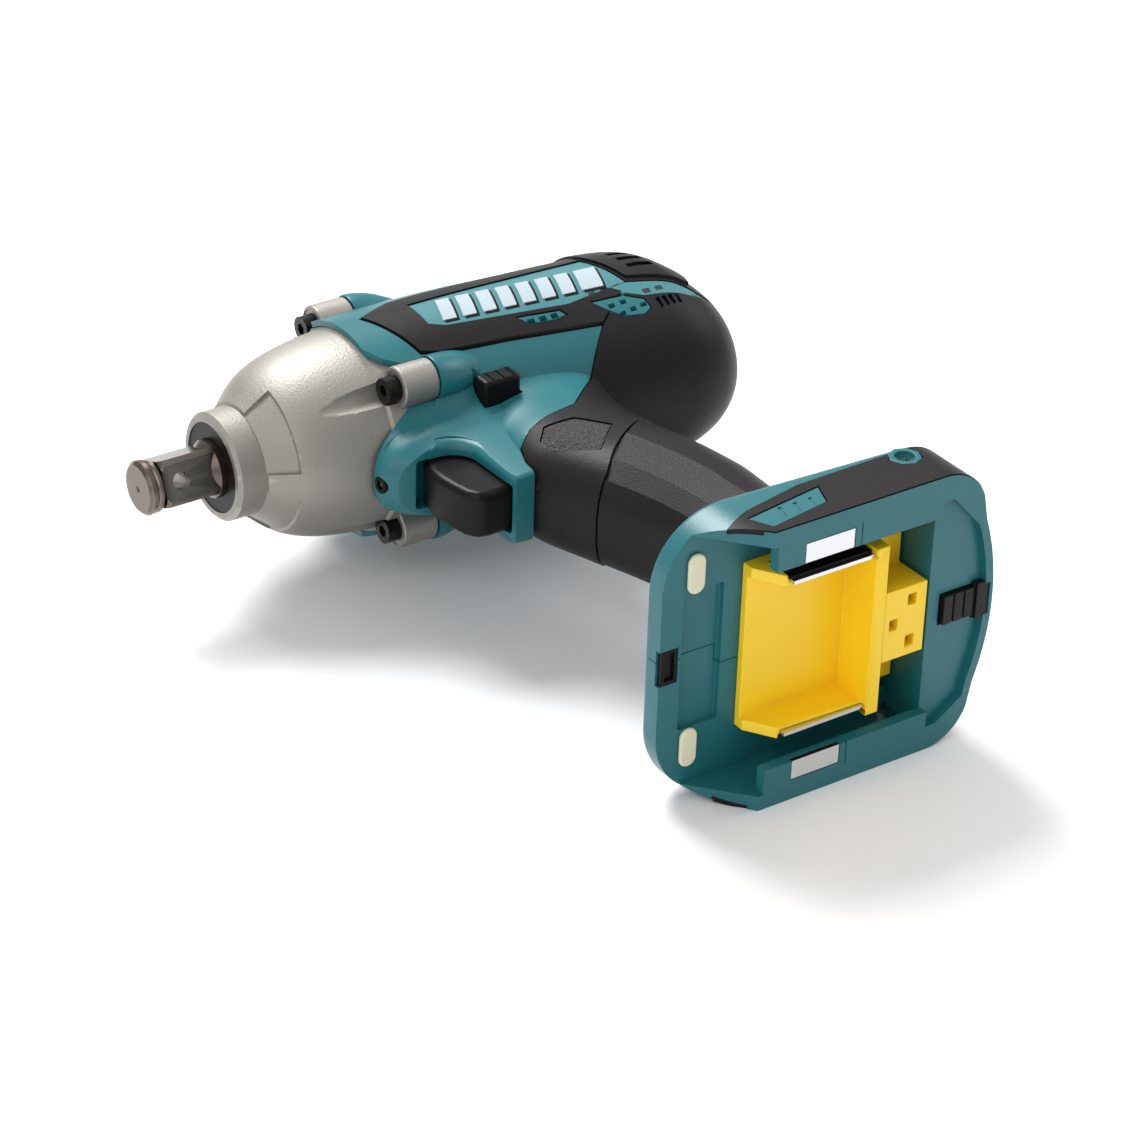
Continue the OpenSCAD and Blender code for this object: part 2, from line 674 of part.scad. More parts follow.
module switch_plunger() color(black_plastic) translate([0, plunger_y, 0]) {
    rod(84.05, 104, 1.9);
    rod(84.05, 85.5, 4);
}

module trigger_spring() color(steel_bright) translate([0, plunger_y, 0])
    coil(85.6, switch_x - 0.1, 3, 0.4, 6, 12, 5);

module switch_body() color(black_plastic) difference() {
    union() {
        box(switch_x, 121, -62, -37, -9, 9);
        box(103, 117, -37.2, -34.5, -7, 7);
    }
    translate([0, plunger_y, 0]) rod(90, 113, 2.1);
}

// It stands pushed out to the left, and slides to the right by its travel
module fr_lever() color(black_plastic) side_slab(lever_travel - lever_reach, lever_reach)
    translate([lever_x, lever_y]) square([lever_w, lever_h], center = true);

module led_lens() color(ivory) translate([0, led_y, 0]) union() {
    rod(54.2, 58, 2.2);
    translate([54.2, 0, 0]) sphere(r = 2.2);
}
module led_board() color([0.1, 0.3, 0.15]) box(58.2, 59.8, -33.6, -29.8, -4.2, 4.2);

// ---------- foot fittings ----------

module terminal_block() color(yellow) difference() {
    union() {
        box(88, 136.3, -147.7, floor_y - 0.05, -23.5, 23.5);
        box(119, 123, -159.3, -147, -24.2, 24.2);
        box(122.5, 136.3, -159, -147, -10.1, 10.1);
        for (s = [-1, 1]) side_slab(s > 0 ? 20.4 : -23.5, s > 0 ? 23.5 : -20.4)
            polygon([[88, -147], [88, -149], [93, -156.6], [120, -157.4], [120, -147]]);
    }
    for (s = [-1, 1]) box(94, 119.5, -160, -148.5, 21.9 * s - 0.55, 21.9 * s + 0.55);
    for (s = [-1, 1]) box(130.5, 133.2, -160, -152, 6 * s - 1.6, 6 * s + 1.6);
    box(125, 127.6, -160, -152, -1.6, 1.6);
}

module terminals() color(steel_bright)
    for (s = [-1, 1]) box(94.1, 118.9, -158.2, -148.6, 21.9 * s - 0.5, 21.9 * s + 0.5);

module rail_plates() color(steel_bright)
    for (s = [-1, 1]) box(95.1, 109.9, -160.9, -159.45, s > 0 ? rail_gap + 0.1 : -33.9, s > 0 ? 33.9 : -rail_gap - 0.1);

module foot_pads() color(ivory) for (s = [-1, 1]) translate([73.4, 0, 25 * s])
    plan_slab(-146.8, floor_y - 0.02) union() {
        square([5, 6], center = true);
        translate([0, 3]) circle(r = 2.5);
        translate([0, -3]) circle(r = 2.5);
    }

module rear_cushion() color(rubber_dark) box(141.2, 153.4, -foot_low + 0.4, -156.6, -4, 4);

module latch_catch() color(black_plastic) difference() {
    box(64.6, 69.5, floor_y + 0.1, floor_y + 1.55, -4.9, 4.9);
    box(65.6, 68.5, floor_y - 1, floor_y + 0.9, -3.9, 3.9);
}

module hook_nuts() color(steel_bright) both_sides() difference() {
    pin_z(hook_x, hook_y, 33.3, 38.6, 4.1);
    pin_z(hook_x, hook_y, 30, 42, m4_minor_r);
}

// ---------- wires ----------

supply_route = [[113, -144.5, 4], [114, -137, 4], [119, -124, 4], [121, -108, 4], [118, -90, 4],
                [112, -76, 4], [109, -68, 4], [109, -62.1, 4]];
motor_route = [[110, -34.4, 5], [111, -31, 5], [114, -27.5, 5.5], [120, -24.2, 6], [132, -23.2, 6],
               [144, -23.2, 6], [150, -21.8, 7], [152.5, -17.5, 9.8], [153, -12, 13], [153, -3.7, 14]];
module lead_wires() color([0.6, 0.1, 0.1]) both_sides() wire(route(supply_route, 4), 1.1);
module motor_wires() color(black_plastic) both_sides() wire(route(motor_route, 4), 1.1);

housing_left();
housing_right();
grip_left();
grip_right();
band_left();
band_right();
side_plate_left();
side_plate_right();
foot_bumper_left();
foot_bumper_right();
foot_label_left();
foot_label_right();
hammer_case();
hammer_case_bolts();
housing_screws();
nose_seal();
anvil_bushing();
anvil();
friction_ring();
hammer();
hammer_spring();
spring_washer();
spindle();
cam_balls();
planet_gear_1();
planet_gear_2();
planet_pins();
ring_gear();
spindle_bearing();
bearing_box();
motor_shaft();
armature_core();
armature_windings();
commutator();
motor_fan();
motor_yoke();
motor_magnets();
motor_bearing_front();
motor_bearing_rear();
brush_holder();
carbon_brushes();
brush_springs();
trigger();
switch_plunger();
trigger_spring();
switch_body();
fr_lever();
led_lens();
led_board();
terminal_block();
terminals();
rail_plates();
foot_pads();
rear_cushion();
latch_catch();
hook_nuts();
lead_wires();
motor_wires();
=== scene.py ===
"""Looks of the cordless impact wrench: moulded shells, castings and finishes around the CAD frame."""

import json
from math import cos, pi, radians, sin

import bmesh
import bpy
from mathutils import Matrix, Vector


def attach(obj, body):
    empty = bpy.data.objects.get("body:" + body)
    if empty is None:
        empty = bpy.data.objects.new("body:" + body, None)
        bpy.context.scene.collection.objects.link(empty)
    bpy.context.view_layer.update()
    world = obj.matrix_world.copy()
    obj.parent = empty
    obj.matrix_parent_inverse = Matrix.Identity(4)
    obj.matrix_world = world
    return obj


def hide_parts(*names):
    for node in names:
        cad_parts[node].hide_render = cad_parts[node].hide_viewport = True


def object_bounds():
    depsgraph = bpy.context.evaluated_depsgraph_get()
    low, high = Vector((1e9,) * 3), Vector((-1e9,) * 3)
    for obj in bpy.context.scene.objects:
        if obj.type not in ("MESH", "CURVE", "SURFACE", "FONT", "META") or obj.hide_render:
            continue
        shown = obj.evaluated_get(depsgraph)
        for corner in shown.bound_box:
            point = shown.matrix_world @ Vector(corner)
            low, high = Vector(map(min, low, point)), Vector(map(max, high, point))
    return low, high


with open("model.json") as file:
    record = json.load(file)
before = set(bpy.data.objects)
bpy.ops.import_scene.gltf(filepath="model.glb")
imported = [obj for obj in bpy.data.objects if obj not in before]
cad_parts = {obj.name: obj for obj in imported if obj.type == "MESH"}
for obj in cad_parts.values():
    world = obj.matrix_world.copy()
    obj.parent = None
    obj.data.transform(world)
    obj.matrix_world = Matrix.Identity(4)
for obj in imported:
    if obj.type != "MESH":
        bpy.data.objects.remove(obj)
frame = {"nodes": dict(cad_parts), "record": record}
cad_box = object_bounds()

MM = 0.001

# ---------- sizes in millimetres ----------
# X runs from the nose to the rear, Y from the foot up to the head, and Z from the right side to the left.

# Head sections: x, centre height, half height and half width
HEAD = [
    (52, 0, 30.3, 30.2), (70, 0, 30.4, 30.3), (95, -0.2, 30.6, 30.4), (118, -1.8, 30.8, 30.0),
    (135, -3.2, 30.9, 29.7), (150, -4.5, 30.9, 29.2), (158, -6.4, 29.5, 28.0), (164, -9.0, 26.2, 25.0),
    (169, -11.3, 22.0, 21.1), (173.5, -12.5, 16.9, 16.3), (176.5, -12.6, 11.2, 10.9), (178, -12.6, 4.5, 4.5),
]
HEAD_END_X = 178
REAR_START_X = 150
# Handle sections: y, front x, rear x and half width
HANDLE = [
    (-20, 83, 141, 21.4), (-24, 83.4, 137, 17.8), (-28, 84, 132.5, 15.6), (-33, 84.4, 129, 15.0),
    (-40, 84.0, 127, 15.2), (-48, 83.2, 126.2, 16.0), (-58, 82.6, 127, 16.6), (-72.6, 88.0, 130.5, 17.1),
    (-91, 94.6, 133, 17.1), (-105, 98, 132.6, 16.7), (-114, 98, 133, 17.2), (-123, 95.5, 136, 20),
    (-131.5, 90, 144, 26),
]
# Chin sections over the trigger: y, front x, rear x and half width
CHIN = [
    (-14, 57.5, 124, 26.4), (-17, 57.3, 124, 24.4), (-20, 57.0, 124, 21.8), (-24, 56.2, 124, 17.9),
    (-27, 55.4, 122, 15.3), (-30, 54.8, 120, 13.9), (-33, 55.6, 118, 13.1), (-36, 58.5, 116, 12.2),
    (-40, 62, 112, 11.6), (-48, 64, 110, 11.0), (-63, 64, 110, 10.4),
]
# Side outlines of the head's regions, as x and y
TEAL_FRONT = [
    (63, 40), (63, -10), (66.5, -14.2), (72.2, -17.2), (76.4, -17.6), (77.3, -20), (77.3, -24), (75, -26.4),
    (68, -27), (59, -28.6), (55.2, -30.2), (54.4, -32), (54.4, -40), (200, -40), (200, 40),
]
PLATE = [(85, 2.5), (142, 3.6), (146.2, -12.6), (126, -14.5), (89, -10), (85, -8)]
STRIPE = [
    (126, -14.5), (146.2, -12.6), (161, -16.1), (166.5, -18.3), (163, -20.3), (148.6, -18.4), (143.5, -16),
]
BAND = [
    (70.3, 2.8), (81.9, 8.4), (141.6, 8.9), (141.6, 3.5), (130, -5), (143, -15.5), (132.5, -22.1),
    (102.7, -18.5), (83, -16.9), (77.7, -15.5), (73, -4),
]
COVER = [
    (96, -50), (107.5, -44.6), (113, -39.5), (120, -33), (132.6, -22.2), (143.5, -16.2), (148.6, -18.6),
    (163, -20.5), (180, -18), (200, -18), (200, -60), (96, -60),
]
TOP_COVER = [(142.2, 40), (142.2, 3.6), (146.4, -12.6), (161, -15.9), (166.7, -18.0), (200, -18), (200, 40)]
HUMP = [
    (143.2, 26), (143.2, 3.4), (147.2, -11.2), (161.5, -14.6), (165.8, -15.6), (168, -9), (169, 0),
    (166, 26),
]
VENT_STRIP = [(109.4, -14.1), (122.2, -15.7), (123.4, -17.4), (119.6, -17.7), (112, -16.8)]
VENT_OVAL = [
    (132.4, -16.2), (142.4, -16.9), (147.7, -19.6), (148.2, -22.3), (145.6, -23.2), (139.2, -22.2),
    (135, -19),
]
# Black sheets behind the vents of the badge plate and of the stripe: painted shade inside the vents
PLATE_VENT_SHADE = [(132.6, -14.1), (145.2, -13.3), (145.2, -12.2), (132.6, -12.9)]
STRIPE_VENT_SHADE = [(148.4, -18.0), (157, -18.2), (157, -16.2), (148.4, -16.0)]

# The teal chin ends at the elastomer behind it
TEAL_LOWER = [
    (40, 0), (130, 0), (130, -24.4), (120, -33), (113, -39.5), (107.5, -44.6), (97, -46.4), (91, -48),
    (86.2, -51), (83.8, -57), (83.2, -64), (40, -64),
]
# The elastomer collar's edges: along the teal chin, and along the grip sleeve below it
COLLAR_TOP = [
    (60, -92), (60, -62.6), (83.5, -62.6), (84.1, -57), (86.5, -51.2), (91.1, -48.3), (97.1, -46.7),
    (107.7, -44.9), (113.3, -39.8), (120.3, -33.3), (132.9, -22.5), (150, -16),
]
COLLAR_LINE = [(70, -92), (95.5, -77.5), (101, -72.4), (107, -67.8), (116.7, -61), (127, -57.5), (150, -55)]
GRIP_PANEL = [(93.8, -50.3), (102.7, -51.8), (108.8, -60.6), (98.6, -70.2), (90, -62), (89.5, -55)]

# Foot: plan outline, in x and z, and heights
FOOT_FRONT_X = 63.9
FOOT_CENTRE_X = 108
RIM_Y = -161
FLOOR_Y = -145.5
ROOF_Y = -131
FOOT_HALF = 39.9
FOOT_WALL = 4.2
RAIL_INNER_Z = 28.5
BUMPER = [
    (77.5, -152.2), (85.4, -160.6), (150, -160.6), (158, -150), (146, -144), (104, -144.9), (86, -148.6),
]
LABEL = [(83.8, -152), (86.9, -158), (105, -155), (107.6, -148.3)]

# Places of fittings
BOLTS = [(y, z) for y in (21, -21) for z in (21.3, -21.3)]
BOLT_RADIUS = 2.1
BOSS_RADIUS = 5.7
BOSS_X = (66.2, 77)
CASE_ROOM_RADIUS = 28.75
# Closing screws, reached from the right side: x, y and the z of the screw head's outer end
HEAD_SCREW = (107, 23.6, -14.5)
GRIP_SCREWS = [(104, -72, -16.1), (109, -107, -15.2)]
FOOT_SCREWS = [(76, -141, -29), (141, -140, -30)]
SCREW_ROOM_RADIUS = 3.3
SCREW_HEAD_HEIGHT = 2.4
LAMP_X = 55.9
LAMP_Y = -31.4
HOOK_X = 135.7
HOOK_Y = -147.1
TRIGGER_HALF = 6.8
TRIGGER_ROOM_HALF = 7.3
TRIGGER_ROOM_X = (63.0, 97.5)
TRIGGER_ROOM_Y = (-60.8, -32)
LEVER_X = (88.6, 100.2)
LEVER_Y = (-30.6, -24.1)
LEVER_Z = (-13.4, 20.5)
# x span of the black sheets on the yellow block, which are painted shade of the rail grooves
RAIL_SHADE_X = (93.6, 118.9)

# Fits between the visual pieces
SEAM = 0.1  # a panel's edge stays this far inside its outline
GAP = 0.3  # a room for a panel is wider than the panel's outline by this
COLLAR_GAP = 0.25  # half the seam between the collar and the sleeve
SKIN = 1.3  # a panel's thickness
SHELL = 2.2  # the teal shell's thickness
PROUD = 0.3  # how far the softer panels stand out of the head
FAR = 60  # a distance past every side, for shapes that limit or cut
MIDDLE = -0.001  # where a left half begins, so that its mirror image touches it

# ---------- mesh tools ----------


def piece(name, points, faces):
    """A new mesh object from points in millimetres."""
    mesh = bpy.data.meshes.new(name)
    mesh.from_pydata([[c * MM for c in p] for p in points], [], faces)
    mesh.validate()
    shape = bmesh.new()
    shape.from_mesh(mesh)
    bmesh.ops.recalc_face_normals(shape, faces=shape.faces)
    shape.to_mesh(mesh)
    shape.free()
    obj = bpy.data.objects.new(name, mesh)
    bpy.context.scene.collection.objects.link(obj)
    return obj


def loft(name, rings):
    """A closed skin over rings that have the same number of points, with a flat face at both ends."""
    count = len(rings[0])
    points = [p for ring in rings for p in ring]
    faces = []
    for i in range(len(rings) - 1):
        for j in range(count):
            k = (j + 1) % count
            faces.append((i * count + j, i * count + k, (i + 1) * count + k, (i + 1) * count + j))
    faces.append(tuple(reversed(range(count))))
    faces.append(tuple((len(rings) - 1) * count + j for j in range(count)))
    return piece(name, points, faces)


def prism(name, outline, axis, low, high):
    """An outline raised along an axis: a side outline (x, y), a plan one (x, z) or a front one (y, z)."""
    place = {
        "z": lambda a, b, h: (a, b, h),
        "y": lambda a, b, h: (a, h, b),
        "x": lambda a, b, h: (h, a, b),
    }[axis]
    return loft(name, [[place(a, b, h) for a, b in outline] for h in (low, high)])


def slab(outline, low=-FAR, high=FAR):
    """A side outline raised through the whole tool, for keeping or cutting away what lies inside it."""
    return prism("slab", outline, "z", low, high)


def block(name, x, y, z):
    return prism(name, [(x[0], y[0]), (x[1], y[0]), (x[1], y[1]), (x[0], y[1])], "z", z[0], z[1])


def lathe(name, profile, steps):
    """A closed profile of (x, r) points turned about the output axis."""
    rings = []
    for i in range(steps):
        a = 2 * pi * i / steps
        rings.append([(x, r * cos(a), r * sin(a)) for x, r in profile])
    count = len(profile)
    points = [p for ring in rings for p in ring]
    faces = []
    for i in range(steps):
        n = (i + 1) % steps
        for j in range(count):
            k = (j + 1) % count
            faces.append((i * count + j, i * count + k, n * count + k, n * count + j))
    return piece(name, points, faces)


def rod(name, start, end, radius, steps=48):
    """A round bar between two points."""
    a, b = Vector(start), Vector(end)
    along = (b - a).normalized()
    side = along.orthogonal().normalized()
    other = along.cross(side)
    rings = []
    for centre in (a, b):
        turns = [2 * pi * i / steps for i in range(steps)]
        rings.append([tuple(centre + side * (radius * cos(t)) + other * (radius * sin(t))) for t in turns])
    return loft(name, rings)


def settle(obj):
    """Makes an object's modifiers part of its mesh."""
    graph = bpy.context.evaluated_depsgraph_get()
    mesh = bpy.data.meshes.new_from_object(obj.evaluated_get(graph))
    old = obj.data
    obj.modifiers.clear()
    obj.data = mesh
    bpy.data.meshes.remove(old)
    return obj


def combine(obj, tools, how):
    """obj with other solids added, cut away, or kept in common."""
    for tool in tools:
        modifier = obj.modifiers.new(how, "BOOLEAN")
        modifier.operation = how
        modifier.solver = "EXACT"
        modifier.object = tool
    settle(obj)
    for tool in tools:
        bpy.data.objects.remove(tool)
    return obj


def add(obj, *tools):
    return combine(obj, tools, "UNION")


def cut(obj, *tools):
    return combine(obj, tools, "DIFFERENCE")


def common(obj, tool):
    return combine(obj, [tool], "INTERSECT")


def copy_of(obj, name):
    twin = bpy.data.objects.new(name, obj.data.copy())
    bpy.context.scene.collection.objects.link(twin)
    return twin


def flipped(obj):
    """The piece moved to the tool's other side."""
    obj.data.transform(Matrix.Scale(-1, 4, (0, 0, 1)))
    obj.data.flip_normals()
    return obj


def mirrored(obj, name):
    """A copy of the piece on the tool's other side."""
    return flipped(copy_of(obj, name))


def on_side(side, near, far):
    """A range of z at two distances from the middle plane, on the left side (1) or the right side (-1)."""
    return (near, far) if side > 0 else (-far, -near)


def wider(span, by):
    """A range made longer at both ends."""
    return (span[0] - by, span[1] + by)


def welded(obj, weld=0.02):
    """Joins points that lie closer together than the weld distance."""
    shape = bmesh.new()
    shape.from_mesh(obj.data)
    bmesh.ops.remove_doubles(shape, verts=shape.verts, dist=weld * MM)
    bmesh.ops.dissolve_degenerate(shape, dist=weld * MM, edges=shape.edges)
    shape.to_mesh(obj.data)
    shape.free()
    return obj


def rounded(obj, width, segments, angle=32):
    """Rounds every edge that is sharper than the angle."""
    welded(obj)
    modifier = obj.modifiers.new("round", "BEVEL")
    modifier.width = width * MM
    modifier.segments = segments
    modifier.limit_method = "ANGLE"
    modifier.angle_limit = radians(angle)
    modifier.use_clamp_overlap = True
    modifier.miter_outer = "MITER_ARC"
    return settle(obj)


def softened(obj, material, angle=34):
    """Smooth shading with crisp edges, and the material in the first slot."""
    mesh = obj.data
    mesh.shade_smooth()
    mesh.set_sharp_from_angle(angle=radians(angle))
    modifier = obj.modifiers.new("normals", "WEIGHTED_NORMAL")
    modifier.keep_sharp = True
    settle(obj)
    obj.data.materials.clear()
    obj.data.materials.append(material)
    return obj


def placed(obj, body, slot, *nodes):
    """Puts a piece on its body, in place of the CAD nodes that it stands for; the slot is not used."""
    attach(obj, body)
    if nodes:
        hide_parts(*nodes)
    return obj


def arc_points(x, y, radius, start, stop, steps):
    """Points of an arc about a centre, from one angle to another, in degrees."""
    turns = [radians(start + (stop - start) * i / steps) for i in range(steps + 1)]
    return [(x + radius * cos(a), y + radius * sin(a)) for a in turns]


def smooth_row(rows, at):
    """The row at a place along a table of sections, on a smooth curve through them."""
    sign = 1 if rows[-1][0] > rows[0][0] else -1
    i = max(j for j in range(len(rows) - 1) if sign * rows[j][0] <= sign * at or j == 0)
    before, here = rows[max(i - 1, 0)], rows[i]
    there, after = rows[i + 1], rows[min(i + 2, len(rows) - 1)]
    span = there[0] - here[0]
    t = (at - here[0]) / span
    values = []
    for c in range(1, len(here)):
        slope_here = (there[c] - before[c]) / (there[0] - before[0]) * span
        slope_there = (after[c] - here[c]) / (after[0] - here[0]) * span
        blend = t * t * (3 - 2 * t)
        curve = t * (1 - t) * ((1 - t) * slope_here - t * slope_there)
        values.append(here[c] + (there[c] - here[c]) * blend + curve)
    return values


def shrunk(outline, gap):
    """An outline moved inwards by a gap, for outlines without very sharp corners."""
    turn = sum(a[0] * b[1] - b[0] * a[1] for a, b in zip(outline, outline[1:] + outline[:1]))
    side = 1 if turn > 0 else -1
    result = []
    for i, (x, y) in enumerate(outline):
        ax, ay = outline[i - 1]
        bx, by = outline[(i + 1) % len(outline)]
        before = Vector((x - ax, y - ay)).normalized()
        after = Vector((bx - x, by - y)).normalized()
        n1 = Vector((-before.y, before.x)) * side
        n2 = Vector((-after.y, after.x)) * side
        both = n1 + n2
        both = both / max(both.length_squared / 2, 0.35)
        result.append((x + both.x * gap, y + both.y * gap))
    return result


# ---------- materials ----------

# Scale per metre of the slow drift in colour and roughness
BROAD_GRAIN = 45
# Heights of the fine and the coarse relief, in metres
FINE_RELIEF = 0.0004
COARSE_RELIEF = 0.0006
# Pointiness at which an edge begins to look worn, and at which it is worn through
WORN_FROM = 0.53
WORN_FULL = 0.62


def colour(red, green, blue):
    return (red, green, blue, 1.0)


def surface(name, tint, roughness, metallic=0.0, grain=900, bump=0.08, mottle=0.06, rough_spread=0.05,
            wear=0.0, coat=0.0, flow=(1, 1, 1), coarse=None, shine=0.5):
    """A principled finish: its colour and roughness drift a little, and its grain is a fine relief.

    grain is the relief's scale per metre, wear lightens exposed edges, flow scales the grain along each
    axis, coarse is the strength and scale of a second, larger relief, and shine is the strength of
    reflections at a steep angle."""
    material = bpy.data.materials.new(name)
    material.use_nodes = True
    nodes = material.node_tree.nodes
    links = material.node_tree.links
    shader = nodes["Principled BSDF"]
    shader.inputs["Metallic"].default_value = metallic
    shader.inputs["Coat Weight"].default_value = coat
    shader.inputs["Specular IOR Level"].default_value = shine
    place = nodes.new("ShaderNodeTexCoord")
    stretch = nodes.new("ShaderNodeMapping")
    stretch.inputs["Scale"].default_value = flow
    links.new(place.outputs["Object"], stretch.inputs["Vector"])

    fine = nodes.new("ShaderNodeTexNoise")
    fine.inputs["Scale"].default_value = grain
    fine.inputs["Detail"].default_value = 4
    links.new(stretch.outputs["Vector"], fine.inputs["Vector"])
    broad = nodes.new("ShaderNodeTexNoise")
    broad.inputs["Scale"].default_value = BROAD_GRAIN
    broad.inputs["Detail"].default_value = 3
    links.new(place.outputs["Object"], broad.inputs["Vector"])

    spread = nodes.new("ShaderNodeMapRange")
    spread.inputs["To Min"].default_value = roughness - rough_spread
    spread.inputs["To Max"].default_value = roughness + rough_spread
    links.new(broad.outputs["Fac"], spread.inputs["Value"])
    links.new(spread.outputs["Result"], shader.inputs["Roughness"])

    shade = nodes.new("ShaderNodeMix")
    shade.data_type = "RGBA"
    shade.inputs["A"].default_value = colour(*[c * (1 - mottle) for c in tint])
    shade.inputs["B"].default_value = colour(*[min(1, c * (1 + mottle)) for c in tint])
    links.new(broad.outputs["Fac"], shade.inputs["Factor"])
    last = shade.outputs["Result"]
    if wear:
        geometry = nodes.new("ShaderNodeNewGeometry")
        edge = nodes.new("ShaderNodeMapRange")
        edge.inputs["From Min"].default_value = WORN_FROM
        edge.inputs["From Max"].default_value = WORN_FULL
        links.new(geometry.outputs["Pointiness"], edge.inputs["Value"])
        worn = nodes.new("ShaderNodeMix")
        worn.data_type = "RGBA"
        worn.inputs["B"].default_value = colour(*[min(1, c * (1 + wear) + 0.02) for c in tint])
        links.new(edge.outputs["Result"], worn.inputs["Factor"])
        links.new(last, worn.inputs["A"])
        last = worn.outputs["Result"]
    links.new(last, shader.inputs["Base Color"])

    relief = nodes.new("ShaderNodeBump")
    relief.inputs["Strength"].default_value = bump
    relief.inputs["Distance"].default_value = FINE_RELIEF
    links.new(fine.outputs["Fac"], relief.inputs["Height"])
    normal = relief
    if coarse:
        lumps = nodes.new("ShaderNodeTexVoronoi")
        lumps.inputs["Scale"].default_value = coarse[1]
        links.new(place.outputs["Object"], lumps.inputs["Vector"])
        second = nodes.new("ShaderNodeBump")
        second.inputs["Strength"].default_value = coarse[0]
        second.inputs["Distance"].default_value = COARSE_RELIEF
        links.new(lumps.outputs["Distance"], second.inputs["Height"])
        links.new(relief.outputs["Normal"], second.inputs["Normal"])
        normal = second
    links.new(normal.outputs["Normal"], shader.inputs["Normal"])
    return material


TEAL = surface("teal_shell", (0.012, 0.130, 0.149), 0.36, grain=1500, bump=0.10, mottle=0.06, shine=0.4)
TEAL_PLATE = surface("teal_plate", (0.048, 0.190, 0.212), 0.32, grain=1500, bump=0.08, mottle=0.05)
ELASTOMER = surface(
    "dark_elastomer", (0.0075, 0.0058, 0.0058), 0.44, grain=2200, bump=0.20, mottle=0.12, shine=0.20
)
GRIP_TEXTURE = surface(
    "grip_texture", (0.030, 0.026, 0.026), 0.60, grain=1800, bump=0.25, mottle=0.12,
    coarse=(0.8, 1300), shine=0.35
)
# A near-black finish for painted shade: the layers seen in the panels' seams and the sheets behind the vents
PAINTED_SHADE = surface("painted_shade_black", (0.006, 0.010, 0.011), 0.55, grain=1200, bump=0.05)
CAST = surface(
    "cast_case", (0.30, 0.284, 0.258), 0.54, metallic=0.8, grain=1500, bump=0.30, mottle=0.07,
    rough_spread=0.07, wear=0.2
)
DARK_STEEL = surface(
    "dark_steel", (0.115, 0.095, 0.082), 0.27, metallic=1.0, grain=700, bump=0.10, mottle=0.18,
    rough_spread=0.10, wear=0.9, flow=(1, 4, 4)
)
BRIGHT_STEEL = surface(
    "bright_steel", (0.68, 0.69, 0.70), 0.24, metallic=1.0, grain=500, bump=0.05, flow=(0.1, 3, 3)
)
# Black parts; also used for the painted shadows under the badge bars and the painted shade beside the yellow
# block's contacts
BLACK = surface("black_parts", (0.005, 0.0045, 0.0046), 0.36, grain=1600, bump=0.08, mottle=0.1, shine=0.15)
BLACK_OXIDE = surface(
    "black_bolts", (0.012, 0.011, 0.010), 0.34, metallic=0.5, grain=1200, bump=0.12, shine=0.3
)
BRONZE = surface("bronze", (0.42, 0.29, 0.13), 0.38, metallic=1.0, grain=1500, bump=0.15)
COPPER = surface("copper", (0.60, 0.27, 0.12), 0.35, metallic=1.0, grain=900, bump=0.15)
MAGNET = surface("magnet", (0.05, 0.05, 0.05), 0.6, grain=900, bump=0.3)
YELLOW = surface("yellow_block", (0.93, 0.62, 0.012), 0.34, grain=1300, bump=0.05, mottle=0.03)
IVORY = surface("ivory_pad", (0.70, 0.68, 0.50), 0.55, grain=1300, bump=0.10, mottle=0.05)
LENS = surface("lens", (0.10, 0.12, 0.13), 0.10, grain=300, bump=0.02, coat=1.0)
BOARD = surface("board", (0.05, 0.20, 0.08), 0.45, grain=900, bump=0.08)
WIRE_RED = surface("wire_red", (0.42, 0.03, 0.025), 0.45, grain=1200, bump=0.06)
WIRE_BLACK = surface("wire_black", (0.015, 0.015, 0.015), 0.45, grain=1200, bump=0.06)
WHITE_PRINT = surface("white_print", (0.37, 0.44, 0.48), 0.40, grain=1400, bump=0.04, mottle=0.03)

CAD_FINISH = {
    "teal_shell": TEAL, "dark_elastomer": ELASTOMER, "cast_case": CAST, "dark_steel": DARK_STEEL,
    "bright_steel": BRIGHT_STEEL, "black_parts": BLACK, "black_bolts": BLACK_OXIDE, "bronze": BRONZE,
    "copper": COPPER, "magnet": MAGNET, "yellow_block": YELLOW, "ivory_pad": IVORY, "lens": LENS,
    "board": BOARD, "wire_red": WIRE_RED, "wire_black": WIRE_BLACK,
}


def finish_cad_nodes():
    """Every CAD node that stays gets the procedural finish of its own slot."""
    for part in frame["record"]["subparts"]:
        node = frame["nodes"][part["node"]]
        node.data.materials.clear()
        node.data.materials.append(CAD_FINISH[part["material_slot"]])


# ---------- head ----------


def head_solid(name, depth=0.0, steps=96):
    """The head's closed outer form, or the same form a given depth below its surface."""
    # wide steps along the barrel, then narrow ones round the rear end
    stations = [52 + 2.5 * i for i in range(43)]
    stations += [158.5 + 0.5 * i for i in range(1, 32)]
    stations += [175.2, 176.2, 177, 177.6, HEAD_END_X]
    rings = []
    for x in stations:
        centre, half_y, half_z = smooth_row(HEAD, x)
        half_y = max(half_y - depth, 0.4)
        half_z = max(half_z - depth, 0.4)
        turns = [2 * pi * i / steps for i in range(steps)]
        back = depth * max(0.0, (x - REAR_START_X) / (HEAD_END_X - REAR_START_X))
        rings.append([(x - back, centre + half_y * sin(t), half_z * cos(t)) for t in turns])
    return loft(name, rings)


def region(name, outline, depth, lift=0.0, gap=SEAM, low=3):
    """One region of the head's skin on the left side, of a given depth, standing proud by the lift."""
    skin = head_solid(name, -lift)
    common(skin, slab(shrunk(outline, gap), low))
    cut(skin, head_solid("inside", depth))
    return skin


def region_room(outline):
    """A cutter that makes room for another region in a panel."""
    return region("room", outline, 1.6, 2.0, -GAP)


def pair(left, name, slot, material, *stems):
    """A left piece and its mirror image, each standing for the CAD node of its side."""
    right = mirrored(left, name + "_right")
    for obj, side in ((left, "left"), (right, "right")):
        softened(obj, material)
        placed(obj, "root", slot, *[f"{stem}_{side}" for stem in stems])
    return left, right


